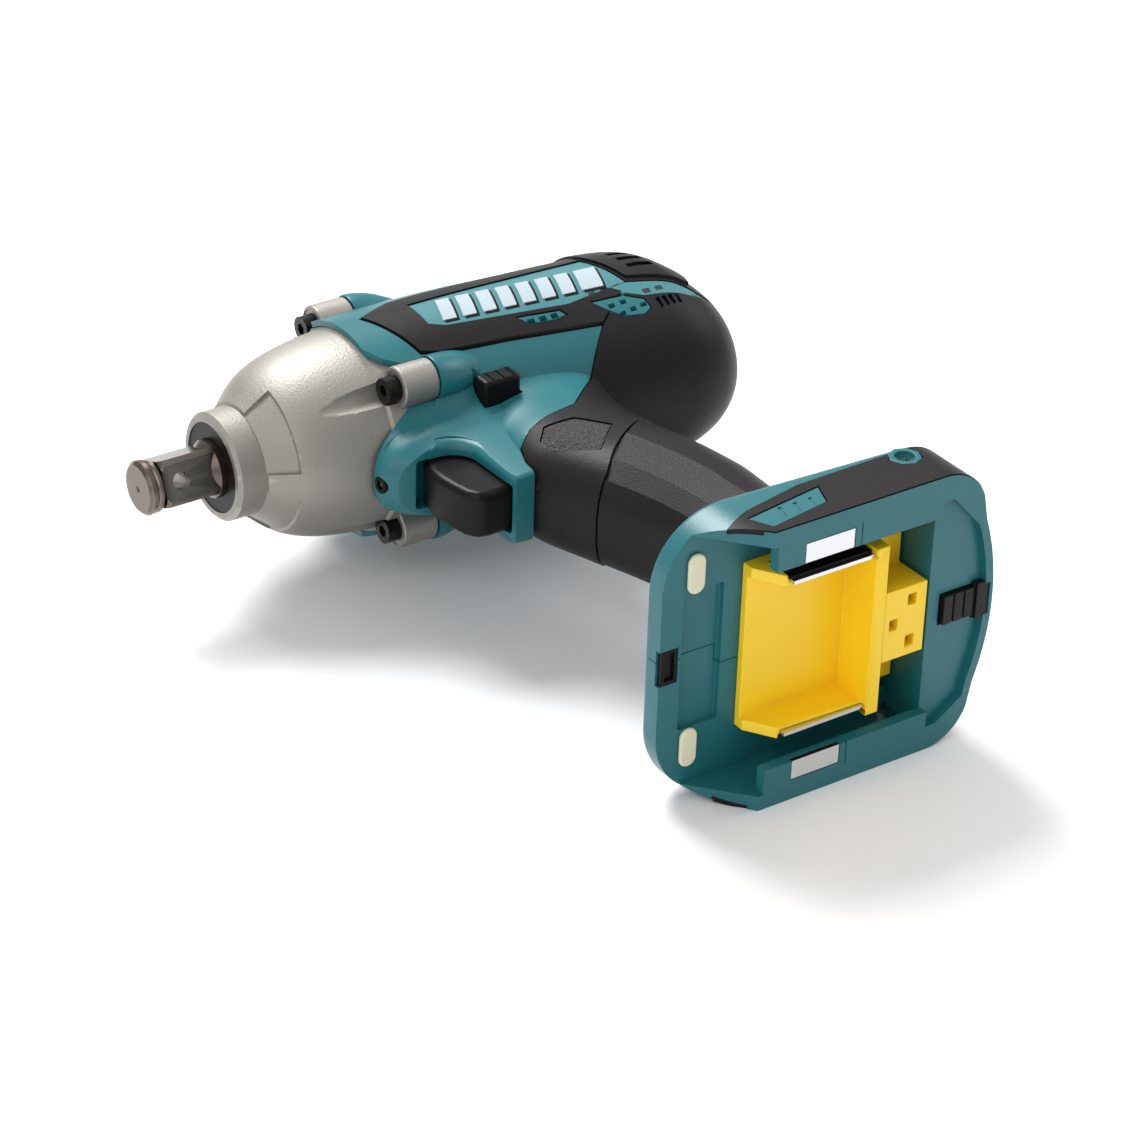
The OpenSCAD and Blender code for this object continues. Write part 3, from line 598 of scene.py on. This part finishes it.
def tapering(name, stations, y, z, steps=40):
    """A bar along X whose radius and distance from the output axis change: x, radius and shift outwards."""
    out = Vector((0, y, z)).normalized()
    turns = [2 * pi * i / steps for i in range(steps)]
    rings = []
    for x, r, shift in stations:
        rings.append([(x, y + out.y * shift + r * sin(t), z + out.z * shift + r * cos(t)) for t in turns])
    return loft(name, rings)


def bolt_post(y, z):
    """The moulded tube that holds a case bolt: its rear end slopes into the head."""
    stations = [
        (76.8, 5.7, 0), (77.1, 6.0, 0), (77.6, 6.15, 0), (80, 6.15, -0.1), (83, 6.1, -0.7),
        (86, 6.0, -1.7), (90, 5.8, -3.6), (95, 5.3, -6.4), (101, 4.5, -10),
    ]
    return tapering("post", stations, y, z)


def round_section(y, front, rear, half, power=2.8, steps=56):
    """A rounded plan section at one height: blunt at the front and rear, flat at the sides."""
    points = []
    for i in range(steps):
        a = 2 * pi * i / steps
        c, w = cos(a), sin(a)
        x = (abs(c) ** (2 / power)) * (1 if c > 0 else -1)
        z = (abs(w) ** (2 / power)) * (1 if w > 0 else -1)
        points.append(((front + rear) / 2 + x * (rear - front) / 2, y, z * half))
    return points


def arch_outline():
    """Side outline of the trigger's arch: its edge sweeps over the trigger and down into the strip."""
    sweep = [(57 + 2.6 * i, -35.4 - 1.6 * sin(pi * i / 8)) for i in range(5)]
    corner = arc_points(69.4, -45, 7.4, 84, 8, 8)
    return [(40, -60), (40, -35.4)] + sweep + [(66, -37.3), (69.4, -37.5)] + corner + [
        (77, -58), (78, -64), (40, -64),
    ]


def arch_room(edge_z=11.2, rim=2.6):
    """The cutter of the trigger's arch: it widens at both sides, so that the chin's rim there is round."""
    outline = arch_outline()
    quarter = [radians(a) for a in range(0, 91, 15)]
    flare = [(rim * (1 - cos(a)), edge_z - rim + rim * sin(a)) for a in quarter]
    flare.append((rim, 40))
    rings = [[(x, y, -z) for x, y in shrunk(outline, -grow)] for grow, z in reversed(flare)]
    rings += [[(x, y, z) for x, y in shrunk(outline, -grow)] for grow, z in flare]
    return loft("arch", rings)


def chin_solid():
    """Smooth form from the head's sides down to the edge of the trigger arch, and the strip behind it."""
    levels = [(-14 - 47 * i / 46, 0.0) for i in range(47)]
    levels += [(-61.5, 0.25), (-61.9, 0.65), (-62.2, 1.4)]
    rings = []
    for y, inset in levels:
        front, rear, half = smooth_row(CHIN, y)
        rings.append(round_section(y, front + inset, rear - inset, half - inset))
    chin = cut(loft("chin", rings), arch_room())
    neck = handle_solid("neck", 0.25, False, -20, -62)
    common(neck, slab([(86, -20), (124, -20), (124, -60), (86, -60)]))
    add(chin, cut(neck, switch_space()))
    return common(chin, slab(TEAL_LOWER))


def screw_rooms(*screws):
    """Recesses in the right side, down to the heads of the closing screws."""
    rooms = []
    for x, y, z in screws:
        rooms.append(rod("screw_room", (x, y, -FAR), (x, y, z + SCREW_HEAD_HEIGHT), SCREW_ROOM_RADIUS))
    return rooms


def teal_head():
    """Moulded front and lower panel of the head, with the bolt tubes, the chin and its strip."""
    body = head_solid("head_shell")
    common(body, slab(TEAL_FRONT))
    add(body, *[bolt_post(y, z) for y, z in BOLTS])
    add(body, chin_solid())
    cut(body, head_solid("inside", SHELL))
    for y, z in BOLTS:
        cut(body, rod("boss_room", (60, y, z), (77.3, y, z), BOSS_RADIUS + GAP))
    case_room = [(40, 0.1), (40, CASE_ROOM_RADIUS), (77, CASE_ROOM_RADIUS), (77, 0.1)]
    cut(body, lathe("case_room", case_room, 96))
    trigger_room_z = (-TRIGGER_ROOM_HALF, TRIGGER_ROOM_HALF)
    cut(body, rounded(block("trigger_room", TRIGGER_ROOM_X, TRIGGER_ROOM_Y, trigger_room_z), 1.0, 2))
    cut(body, block("lever_room", wider(LEVER_X, GAP), wider(LEVER_Y, 0.4), (-FAR, FAR)))
    cut(body, rod("lamp_room", (LAMP_X - 4, LAMP_Y, 0), (LAMP_X + 5, LAMP_Y, 0), 2.4))
    cut(body, *screw_rooms(HEAD_SCREW))
    for side in (1, -1):
        for outline, gap in ((BAND, 0.45), (COVER, GAP), (TOP_COVER, GAP)):
            room = region("room", outline, 1.0, 1.5, -gap)
            cut(body, room if side > 0 else flipped(room))
    return body


def vents(count, start, step, length, height, slant=0.0):
    """Cutters for a row of vents on the left side: slots that may each rise towards the rear."""
    cutters = []
    for i in range(count):
        x = start[0] + step[0] * i
        y = start[1] + step[1] * i
        end = x + length
        cutters.append(slab([(x, y), (end, y + slant), (end, y + slant + height), (x, y + height)], 12, 40))
    return cutters


def head_seam_shade():
    """A black layer under the head's panels: painted shade seen in the seams between them."""
    shade_layer = head_solid("head_seam_shade", 1.05)
    common(shade_layer, slab([(78, 30), (78, -30), (200, -50), (200, 30)]))
    cut(shade_layer, head_solid("inside", 2.4))
    softened(shade_layer, PAINTED_SHADE)
    placed(shade_layer, "root", "black_parts")


def side_band():
    """The soft band round the badge plate."""
    band = region("side_band_left", BAND, SKIN, 0.55)
    cut(band, region("plate_room", PLATE, 1.6, 2.0, -0.25))
    cut(band, region_room(VENT_STRIP))
    cut(band, region_room(VENT_OVAL))
    pair(rounded(band, 0.35, 2), "side_band", "dark_elastomer", ELASTOMER, "band")


def badge_plate():
    """The lighter plate on each side and the stripe behind it, with vents and black sheets behind them as
    painted shade.
    """
    plate = region("badge_plate_left", PLATE, SKIN, 0.1)
    stripe = region("stripe_left", STRIPE, SKIN, 0.1)
    cut(plate, *vents(3, (133.4, -14.0), (4.2, 0.1), 2.4, 1.2, 0.3))
    cut(stripe, *vents(2, (149, -17.9), (4.1, 0.0), 2.4, 1.5))
    # painted shade: black sheets behind the vents stand in for the shade inside them
    dark = region("painted_vent_shade_left", PLATE_VENT_SHADE, 1.2, 0.04, 0)
    add(dark, region("stripe_vent_shade", STRIPE_VENT_SHADE, 1.2, 0.04, 0))
    pair(dark, "painted_vent_shade", "black_parts", PAINTED_SHADE)
    pair(rounded(plate, 0.25, 2), "badge_plate", "teal_shell", TEAL_PLATE, "side_plate")
    pair(rounded(stripe, 0.2, 2), "stripe", "teal_shell", TEAL_PLATE)


def vent_panels():
    """The two small teal panels with vents, set into the soft band and the motor cover."""
    strip = region("vent_strip_left", VENT_STRIP, SKIN, PROUD)
    cut(strip, *vents(3, (111.6, -17.0), (3.6, -0.2), 2.2, 1.5))
    pair(rounded(strip, 0.2, 2), "vent_strip", "teal_shell", TEAL)
    oval = region("vent_oval_left", VENT_OVAL, SKIN, PROUD)
    upper_row = vents(2, (136.4, -19.4), (3.9, 0.1), 2.0, 1.3)
    lower_row = vents(3, (138.4, -22.1), (3.6, 0.3), 2.0, 1.2)
    cut(oval, *upper_row, *lower_row)
    pair(rounded(oval, 0.2, 2), "vent_oval", "teal_shell", TEAL)


def soft_covers():
    """The dark covers on the motor's sides and over its top. Their halves meet in the middle plane."""
    cover = region("motor_cover_left", COVER, SKIN, PROUD, low=MIDDLE)
    cut(cover, *vents(4, (151.0, -23.0), (2.1, 0.0), 1.3, 2.9, 0.2))
    cut(cover, region_room(VENT_OVAL))
    top = region("top_cover_left", TOP_COVER, SKIN, PROUD, low=MIDDLE)
    pair(rounded(cover, 0.3, 2), "motor_cover", "dark_elastomer", ELASTOMER)
    pair(rounded(top, 0.3, 2), "top_cover", "dark_elastomer", ELASTOMER)


def humps():
    """The raised pad on each side of the motor, with three slots."""
    hump = prism("hump_left", HUMP, "z", 8, 30.6)
    common(hump, head_solid("limits", -1.1))
    hump = rounded(hump, 1.3, 3)
    slots = []
    for i in range(3):
        low = 1.0 - 4.7 * i
        slots.append(block("slot", (150 + 0.2 * i, 157.8 + 0.5 * i), (low, low + 2.2), (27.2 - 0.1 * i, 40)))
    cut(hump, *slots)
    pair(rounded(hump, 0.25, 2), "hump", "dark_elastomer", ELASTOMER)


def badge_bars():
    """A row of slanted bars on the badge plate, each with a painted shadow below it: a black copy moved down
    and towards the rear.
    """
    bars = None
    edges = None
    for i in range(8):
        x = 89.5 + 6.15 * i
        y = -8.3 - 0.075 * (x - 89.5)
        width = 4.1 if i < 7 else 6.8
        outline = [(x, y), (x + width, y - 0.07 * width), (x + width + 3.0, y + 8.9), (x + 3.0, y + 9.2)]
        bar = region("badge_bars_left", outline, 0.1, 0.45, 0.0)
        # painted shadow: the bar's outline moved down and back, in black, just under the bar
        edge = region("badge_painted_shadow_left", [(a + 0.45, b - 0.7) for a, b in outline], 0.1, 0.25, -0.1)
        bars = bar if bars is None else add(bars, bar)
        edges = edge if edges is None else add(edges, edge)
    pair(edges, "badge_painted_shadow", "black_parts", BLACK)
    pair(bars, "badge_bars", "lens", WHITE_PRINT)


def head_pieces():
    head_seam_shade()
    body = teal_head()
    softened(rounded(body, 0.25, 2), TEAL)
    placed(body, "root", "teal_shell", "housing_left", "housing_right")
    side_band()
    badge_plate()
    vent_panels()
    soft_covers()
    humps()
    badge_bars()


# ---------- handle ----------


def handle_ring(y, grow=0.0, facets=True):
    """A section of the handle, smooth or with flat facets that have a small ledge at each crease."""
    front, rear, half = smooth_row(HANDLE, y)
    power = 2 / 2.6
    side = []
    quarter = [90 * i / 14 for i in range(15)]
    for a in quarter:
        side.append((0.5 * (1 - cos(radians(a)) ** power), sin(radians(a)) ** power))
    if facets:
        # the creases, as shares of the handle's length and of its half width
        side = [p for p in side if p[0] < 0.085]
        side += [(0.10, 0.735), (0.112, 0.722), (0.245, 0.915), (0.257, 0.902), (0.54, 1.0), (0.552, 0.985)]
    for a in quarter:
        back = (0.5 + 0.5 * sin(radians(a)) ** power, cos(radians(a)) ** power)
        if not facets or back[0] > 0.6:
            side.append(back)
    length = rear - front
    ring = []
    for t, w in side:
        ring.append((front - grow + t * (length + 2 * grow), y, w * (half + grow)))
    mirror_side = [(x, h, -z) for x, h, z in reversed(ring) if z > 1e-6]
    return ring + mirror_side


def handle_solid(name, grow=0.0, facets=True, top=-40, bottom=-131.4):
    """The handle between two heights, or the same form grown outwards."""
    count = 48
    heights = [top + (bottom - top) * i / count for i in range(count + 1)]
    return loft(name, [handle_ring(y, grow, facets) for y in heights])


def switch_space():
    """Room for the switch, its plunger and the trigger's spring."""
    space = block("switch_space", (89, 122), (-62.3, -30), (-9.4, 9.4))
    path = block("trigger_path", (80, 92), (-60.4, -30), (-TRIGGER_ROOM_HALF, TRIGGER_ROOM_HALF))
    return add(space, path)


def grip_sleeve():
    """The soft sleeve on the lower part of the handle."""
    grip = handle_solid("grip_sleeve")
    below = [(x, y - COLLAR_GAP) for x, y in COLLAR_LINE]
    common(grip, slab(below + [(150, -140), (60, -140), (60, -92 - COLLAR_GAP)]))
    cut(grip, *screw_rooms(*GRIP_SCREWS))
    softened(rounded(grip, 0.4, 2, 12), ELASTOMER, 50)
    placed(grip, "root", "dark_elastomer", "grip_left", "grip_right")


def grip_collar():
    """The soft collar between the teal chin and the sleeve, with room for a textured panel on each side."""
    collar = handle_solid("grip_collar", 0.3, False, -20)
    above = [(x, y + COLLAR_GAP) for x, y in COLLAR_LINE]
    common(collar, slab(above + COLLAR_TOP[::-1]))
    panel = handle_solid("panel_room", 2.0, False, -20)
    cut(panel, handle_solid("inside", -0.5, False, -20))
    common(panel, slab(GRIP_PANEL, 6))
    twin = mirrored(panel, "panel_room_right")
    cut(collar, panel, twin)
    cut(collar, head_solid("inside", 1.0), switch_space())
    softened(rounded(collar, 0.35, 2), ELASTOMER)
    placed(collar, "root", "dark_elastomer")


def grip_seam_shade():
    """A black layer under the handle's pieces: painted shade seen in their seams."""
    shade_layer = handle_solid("grip_seam_shade", -0.9, False, -36)
    common(shade_layer, slab([(88, -36), (128, -36), (140, -120), (88, -120)]))
    cut(shade_layer, switch_space(), *screw_rooms(*GRIP_SCREWS))
    softened(shade_layer, PAINTED_SHADE)
    placed(shade_layer, "root", "black_parts")


def grip_panels():
    """The six-sided textured panel on each side of the collar."""
    inlay = handle_solid("grip_panel_left", -0.1, False, -20)
    cut(inlay, handle_solid("inside", -1.6, False, -20))
    common(inlay, slab(shrunk(GRIP_PANEL, 0.35), 6))
    pair(rounded(inlay, 0.3, 2), "grip_panel", "dark_elastomer", GRIP_TEXTURE)


def handle_pieces():
    grip_sleeve()
    grip_collar()
    grip_seam_shade()
    grip_panels()


# ---------- foot ----------


def foot_outline(inset=0.0):
    """Plan outline of the foot, in x and z: round front corners, tight rear corners and a bowed rear end."""
    front = 20
    rear = 14
    half = arc_points(FOOT_FRONT_X + front, FOOT_HALF - front, front - inset, 180, 90, 16)
    half += arc_points(138, FOOT_HALF - rear, rear - inset, 90, 21.8, 12)
    half += arc_points(87.05, 0, 69.6 - inset, 20, 0, 8)
    return half + [(x, -z) for x, z in reversed(half) if z > 1e-6]


def wall_top_y(x):
    """Height of the top of the foot's upright wall, which falls towards the rear."""
    share = min(1.0, max(0.0, (x - 64) / 70))
    return -139.6 - 3.6 * share


def foot_solid(name, inset=0.0):
    """The foot's outer form: upright walls, then a roof that climbs to the handle."""
    # what the roof loses in front of its centre, behind it and at the sides, as shares of the outline
    front_loss = 0.44
    rear_loss = 0.20
    side_loss = 0.30
    # level 0 is the rim, 1 the top of the wall and 3 the roof, and climb is how far a ring has drawn in
    steps = (
        (0, 0.0), (0.94, 0.0), (1, 0.02), (1.25, 0.10), (2, 0.46), (2.7, 0.86), (3, 1.0), (3.1, 1.1),
    )
    rings = []
    for level, climb in steps:
        ring = []
        for x, z in foot_outline(inset):
            wall_y = wall_top_y(x)
            if level <= 1:
                y = RIM_Y + (wall_y - RIM_Y) * level
            else:
                y = wall_y + (ROOF_Y - wall_y) * (level - 1) / 2
            reach = 1 - climb * (front_loss if x < FOOT_CENTRE_X else rear_loss)
            ring.append((FOOT_CENTRE_X + (x - FOOT_CENTRE_X) * reach, y, z * (1 - side_loss * climb)))
        rings.append(ring)
    return loft(name, rings)


def foot_body():
    """The teal foot with its hollow, floor recesses, battery rails and rooms for the fittings."""
    body = foot_solid("foot")
    cut(body, slab([(40, -180), (40, FLOOR_Y), (71.8, FLOOR_Y), (85.2, RIM_Y), (85.2, -180)]))
    inner = FOOT_HALF - FOOT_WALL
    cut(body, block("hollow", (60, 137), (-170, FLOOR_Y), (-inner, inner)))
    rear_floor = prism("rear_floor", foot_outline(2.4), "y", RIM_Y - 6, RIM_Y + 2)
    rear_limits = [(136.6, -33), (136.6, 33), (141, 33), (160, 12), (160, -20), (141, -33)]
    common(rear_floor, prism("limits", rear_limits, "y", -170, -140))
    cut(body, rear_floor)
    cut(body, block("bar_room", (123.3, 137), (-150, -137), (-28.4, 28.4)))
    cut(body, rounded(block("front_recess", (70.4, 82.6), (-150, -143.9), (-19.6, 19.6)), 0.5, 2))
    cut(body, block("cushion_room", (140.6, 155.6), (-165, -156.4), (-4.6, 4.6)))
    cut(body, block("latch_room", (60, 69.6), (-150, -144.0), (-5.0, 5.0)))
    for side in (1, -1):
        add(body, block("rail", (86.5, 138), (RIM_Y, -157.9), on_side(side, RAIL_INNER_Z, inner + 0.4)))
        cut(body, block("plate_seat", (95, 110.2), (-163, -159.5), on_side(side, 28.2, 34.2)))
    for side in (1, -1):
        cut(body, rod("hook_room", (HOOK_X, HOOK_Y, 36 * side), (HOOK_X, HOOK_Y, 45 * side), 4.2))
    return cut(body, *screw_rooms(*FOOT_SCREWS))


def cut_seams(body):
    """Dark lines where the two mouldings meet: one with a jog across the floor, and one on each rail."""
    seam = [(40, 1.4), (81.6, 1.4), (81.6, -3.6), (180, -3.6)]
    half = 0.13
    path = [(x, z - half) for x, z in seam] + [(x + 2 * half, z + half) for x, z in reversed(seam)]
    cut(body, prism("seam", path, "y", -152.5, -141))
    for side in (1, -1):
        cut(body, block("rail_seam", (112.0, 112.3), (-163, -160.3), on_side(side, 28, 35)))


def foot_shell():
    """The foot's teal moulding, with room for the soft bumper on each side."""
    body = foot_body()
    room = foot_solid("bumper_room", -2)
    cut(room, foot_solid("inside", 1.1))
    common(room, slab(shrunk(BUMPER, -GAP), 15))
    cut(body, room, mirrored(room, "bumper_room_right"))
    cut_seams(body)
    softened(rounded(body, 0.55, 3), TEAL)
    placed(body, "root", "teal_shell")


def foot_bumpers():
    """The soft bumper on each side of the foot, with room for a label and the hook's seat."""
    bumper = foot_solid("foot_bumper_left", -0.25)
    cut(bumper, foot_solid("inside", 1.1))
    common(bumper, slab(BUMPER, 15))
    cut(bumper, slab(shrunk(LABEL, -GAP), 15))
    cut(bumper, rod("ring_room", (HOOK_X, HOOK_Y, 30), (HOOK_X, HOOK_Y, FAR), 4.6, steps=8))
    pair(rounded(bumper, 0.5, 3), "foot_bumper", "dark_elastomer", ELASTOMER, "foot_bumper")


def foot_labels():
    """The teal label in each bumper, with three slanted bars."""
    label = foot_solid("foot_label_left", -0.05)
    cut(label, foot_solid("inside", 1.0))
    common(label, slab(LABEL, 15))
    for i in range(3):
        x = 91.5 + 4.6 * i
        cut(label, slab([(x, -156), (x + 1.1, -156), (x + 2.6, -151.2), (x + 1.5, -151.2)], 39.6))
    pair(rounded(label, 0.2, 2), "foot_label", "teal_shell", TEAL, "foot_label")


def hook_rings():
    """The eight-sided seat round each hook's nut."""
    ring = rod("hook_ring_left", (HOOK_X, HOOK_Y, 37), (HOOK_X, HOOK_Y, 40.1), 4.4, steps=8)
    cut(ring, rod("hole", (HOOK_X, HOOK_Y, 30), (HOOK_X, HOOK_Y, 45), 2.6))
    pair(rounded(ring, 0.3, 2), "hook_ring", "teal_shell", TEAL)


def foot_pieces():
    foot_shell()
    foot_bumpers()
    foot_labels()
    hook_rings()


# ---------- hammer case ----------


def case_profile():
    """The case's wall, as x and radius: its outside from nose to rear, then its inside back to the nose."""
    outer = [
        (22.2, 14.0), (23.2, 15), (30.2, 15), (30.4, 16.0), (32, 17.3), (34, 19.1), (36.2, 20.9),
        (38.8, 22.6), (41.6, 23.9), (44.5, 24.9), (47.5, 25.7), (50.4, 26.3), (53.4, 26.8), (57, 27.3),
        (60, 27.6), (62.6, 27.8), (63.4, 28.6), (72, 28.7),
    ]
    inner = [
        (72, 25.7), (57, 25.3), (47.5, 23.2), (41.6, 21.4), (39.4, 19.4), (38.6, 17), (36.2, 16),
        (36.2, 11.1), (24.6, 11.1), (24.6, 12.5), (22.2, 12.5),
    ]
    return outer + inner


def boss_outline(y, z):
    """Front outline of a bolt boss, in y and z: round outside, and as wide as that down to the case."""
    out = Vector((y, z)).normalized()
    angle = Vector((y, z)).angle_signed(Vector((1, 0)))
    points = []
    for i in range(17):
        a = angle - pi / 2 + pi * i / 16
        points.append((y + BOSS_RADIUS * cos(a), z + BOSS_RADIUS * sin(a)))
    depth = 7
    for corner in (points[-1], points[0]):
        points.append((corner[0] - out.x * depth, corner[1] - out.y * depth))
    return points


def collar_recess(start, stop):
    """A shallow recess behind the nose, between two angles measured from the left side towards the top."""
    corners = ((30.25, 15.1), (37.2, 20.6), (37.2, 30), (30.25, 30))
    rings = []
    for i in range(41):
        a = radians(start + (stop - start) * i / 40)
        rings.append([(x, r * sin(a), r * cos(a)) for x, r in corners])
    return loft("recess", rings)


def scoop(y, z):
    """The trough in the case's dome in front of a bolt, for the screwdriver."""
    stations = [
        (39, 0.6, -4.6), (42, 1.5, -3.6), (46, 2.7, -2.1), (50, 3.6, -0.9), (54, 4.1, -0.2),
        (58, 4.3, 0.2), (66.5, 4.4, 0.5),
    ]
    return tapering("scoop", stations, y, z)


def hammer_case():
    """The cast case: a dome behind a short nose, with four bolt bosses and two recesses low down."""
    facets = 160
    case = lathe("case", case_profile(), facets)
    add(case, *[rounded(prism("boss", boss_outline(y, z), "x", *BOSS_X), 0.7, 3) for y, z in BOLTS])
    cutters = [collar_recess(-80, -12), collar_recess(-168, -100)]
    cutters += [rod("bolt_way", (64, y, z), (90, y, z), BOLT_RADIUS) for y, z in BOLTS]
    cutters.append(rod("bore", (66, 0, 0), (90, 0, 0), 25.8, steps=96))
    cut(case, *cutters)
    # a lining closes the wall where the scoops are deepest
    lining = [
        (40, 21.2), (47.5, 23.3), (57, 25.5), (66.4, 25.7), (66.4, 25.2), (57, 25.0), (47.5, 23.0),
        (40, 20.6),
    ]
    add(case, lathe("lining", lining, facets))
    case = rounded(case, 0.5, 3, 28)
    cut(case, *[scoop(y, z) for y, z in BOLTS])
    softened(case, CAST, 52)
    placed(case, "root", "cast_case", "hammer_case")


# ---------- trigger and lever ----------


def trigger_piece():
    """The trigger's shoe: its front bulges towards the nose, and its side edges are rounded."""
    outline = [
        (67.6, -33), (65.2, -37), (64.0, -41.5), (63.8, -46), (64.4, -51), (65.4, -56), (67.4, -59.6),
        (71, -60.4), (90, -59.4), (90, -33),
    ]
    body = prism("trigger_shoe", outline, "z", -TRIGGER_HALF, TRIGGER_HALF)
    softened(rounded(body, 2.2, 5, 40), BLACK)
    placed(body, "trigger", "black_parts", "trigger")


def lever_piece():
    """The bar that is pushed across the handle to change direction, with three grooves in its end."""
    body = block("direction_lever", LEVER_X, LEVER_Y, LEVER_Z)
    body = rounded(body, 1.3, 4)
    cut(body, *[block("groove", (91.6 + 3.2 * i, 92.1 + 3.2 * i), (-34, -20), (20.1, 22)) for i in range(3)])
    softened(rounded(body, 0.2, 2), BLACK)
    placed(body, "fr_lever", "black_parts", "fr_lever")


def lamp_piece():
    """The work lamp: a dark ring with a clear dome in it."""
    ring = lathe("lamp_ring", [(-1.3, 1.35), (-1.3, 1.9), (-0.9, 2.25), (2.5, 2.25), (2.5, 1.35)], 48)
    dome_profile = [
        (-0.75, 0.01), (-0.72, 0.5), (-0.5, 0.95), (-0.1, 1.25), (0.3, 1.33), (2.5, 1.33), (2.5, 0.01),
    ]
    dome = lathe("lamp_dome", dome_profile, 40)
    for obj, finish, slot in ((ring, BLACK, "black_parts"), (dome, LENS, "lens")):
        obj.data.transform(Matrix.Translation(Vector((LAMP_X + 0.4, LAMP_Y, 0)) * MM))
        softened(obj, finish)
        placed(obj, "root", slot)
    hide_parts("led_lens")


def cushion_piece():
    """The rubber stop: a plate with raised ribs and a wider head at the rear."""
    body = block("rear_stop", (141.3, 152.2), (-160.4, -157.0), (-4.1, 4.1))
    add(body, block("head", (151.0, 155.0), (-160.9, -157.0), (-5.2, 5.2)))
    cut(body, *[block("gap", (144 + 3.4 * i, 144.7 + 3.4 * i), (-162, -160.0), (-6, 6)) for i in range(3)])
    softened(rounded(body, 0.3, 2), ELASTOMER)
    placed(body, "root", "dark_elastomer", "rear_cushion")


def refined(node, width, material, body, slot):
    """A CAD node's own shape with its edges rounded."""
    obj = copy_of(frame["nodes"][node], node + "_refined")
    shape = bmesh.new()
    shape.from_mesh(obj.data)
    bmesh.ops.remove_doubles(shape, verts=shape.verts, dist=0.01 * MM)
    bmesh.ops.dissolve_limit(shape, angle_limit=radians(1.0), verts=shape.verts, edges=shape.edges)
    shape.to_mesh(obj.data)
    shape.free()
    softened(rounded(obj, width, 2, 30), material)
    return placed(obj, body, slot, node)


def terminal_pieces():
    """The yellow block, with a black sheet on the outer side of each contact: painted shade of the battery
    rail's groove.
    """
    body = refined("terminal_block", 0.35, YELLOW, "root", "yellow_block")
    for side in (1, -1):
        # painted shade: the outer side wall is cut back and a black sheet put in its place, for the shadow
        # in the rail groove
        cut(body, block("rail_shade_room", wider(RAIL_SHADE_X, 0.2), (-160.5, -148.0), on_side(side, 22.42, 24)))
        rail_shade = block("painted_rail_shade", RAIL_SHADE_X, (-157.2, -148.1), on_side(side, 22.46, 23.3))
        softened(rounded(rail_shade, 0.2, 2), BLACK)
        placed(rail_shade, "root", "black_parts")


# ---------- floor, light and camera ----------


def floor_piece():
    """The pale table under the tool, which lies on its right side."""
    reach = 4.0
    low = cad_box[0][2]
    corners = [(x, y, low) for x, y in ((-reach, -reach), (reach, -reach), (reach, reach), (-reach, reach))]
    mesh = bpy.data.meshes.new("floor")
    mesh.from_pydata(corners, [], [(0, 1, 2, 3)])
    obj = bpy.data.objects.new("floor", mesh)
    bpy.context.scene.collection.objects.link(obj)
    finish = surface("pale_floor", (0.86, 0.86, 0.87), 0.55, grain=300, bump=0.01, mottle=0.01)
    obj.data.materials.append(finish)


def area_light(name, place, size, power):
    """A square light, in metres and watts, that faces the middle of the tool."""
    middle = Vector((0.09, -0.07, 0.0))
    data = bpy.data.lights.new(name, "AREA")
    data.size = size
    data.energy = power
    obj = bpy.data.objects.new(name, data)
    obj.location = place
    obj.rotation_euler = (middle - Vector(place)).to_track_quat("-Z", "Y").to_euler()
    bpy.context.scene.collection.objects.link(obj)


def lights():
    area_light("key", (0.15, 0.85, 1.20), size=0.7, power=29)
    area_light("fill", (-1.1, -0.6, 0.9), size=1.2, power=7)
    area_light("rim", (1.2, -0.2, 0.8), size=0.7, power=5)
    world = bpy.data.worlds.new("studio")
    world.use_nodes = True
    background = world.node_tree.nodes["Background"]
    background.inputs["Color"].default_value = colour(1, 1, 1)
    background.inputs["Strength"].default_value = 0.62
    bpy.context.scene.world = world
    bpy.context.scene.view_settings.view_transform = "Standard"


def camera():
    """The viewpoint: in front of the nose, beyond the foot and above the table, with a long lens."""
    eye = Vector((-418.71, -785.21, 499.09)) * MM
    right = Vector((0.82423, -0.56553, 0.02870)).normalized()
    back = Vector((-0.49955, -0.70234, 0.50712)).normalized()
    up = back.cross(right)
    turn = Matrix((right, up, back)).transposed()
    data = bpy.data.cameras.new("camera")
    data.sensor_width = 36
    data.lens = 122.127
    data.clip_start = 0.05
    obj = bpy.data.objects.new("camera", data)
    obj.matrix_world = Matrix.Translation(eye) @ turn.to_4x4()
    bpy.context.scene.collection.objects.link(obj)
    bpy.context.scene.camera = obj


finish_cad_nodes()
head_pieces()
handle_pieces()
foot_pieces()
hammer_case()
trigger_piece()
lever_piece()
lamp_piece()
cushion_piece()
terminal_pieces()
refined("foot_pads", 0.5, IVORY, "root", "ivory_pad")
floor_piece()
lights()
camera()
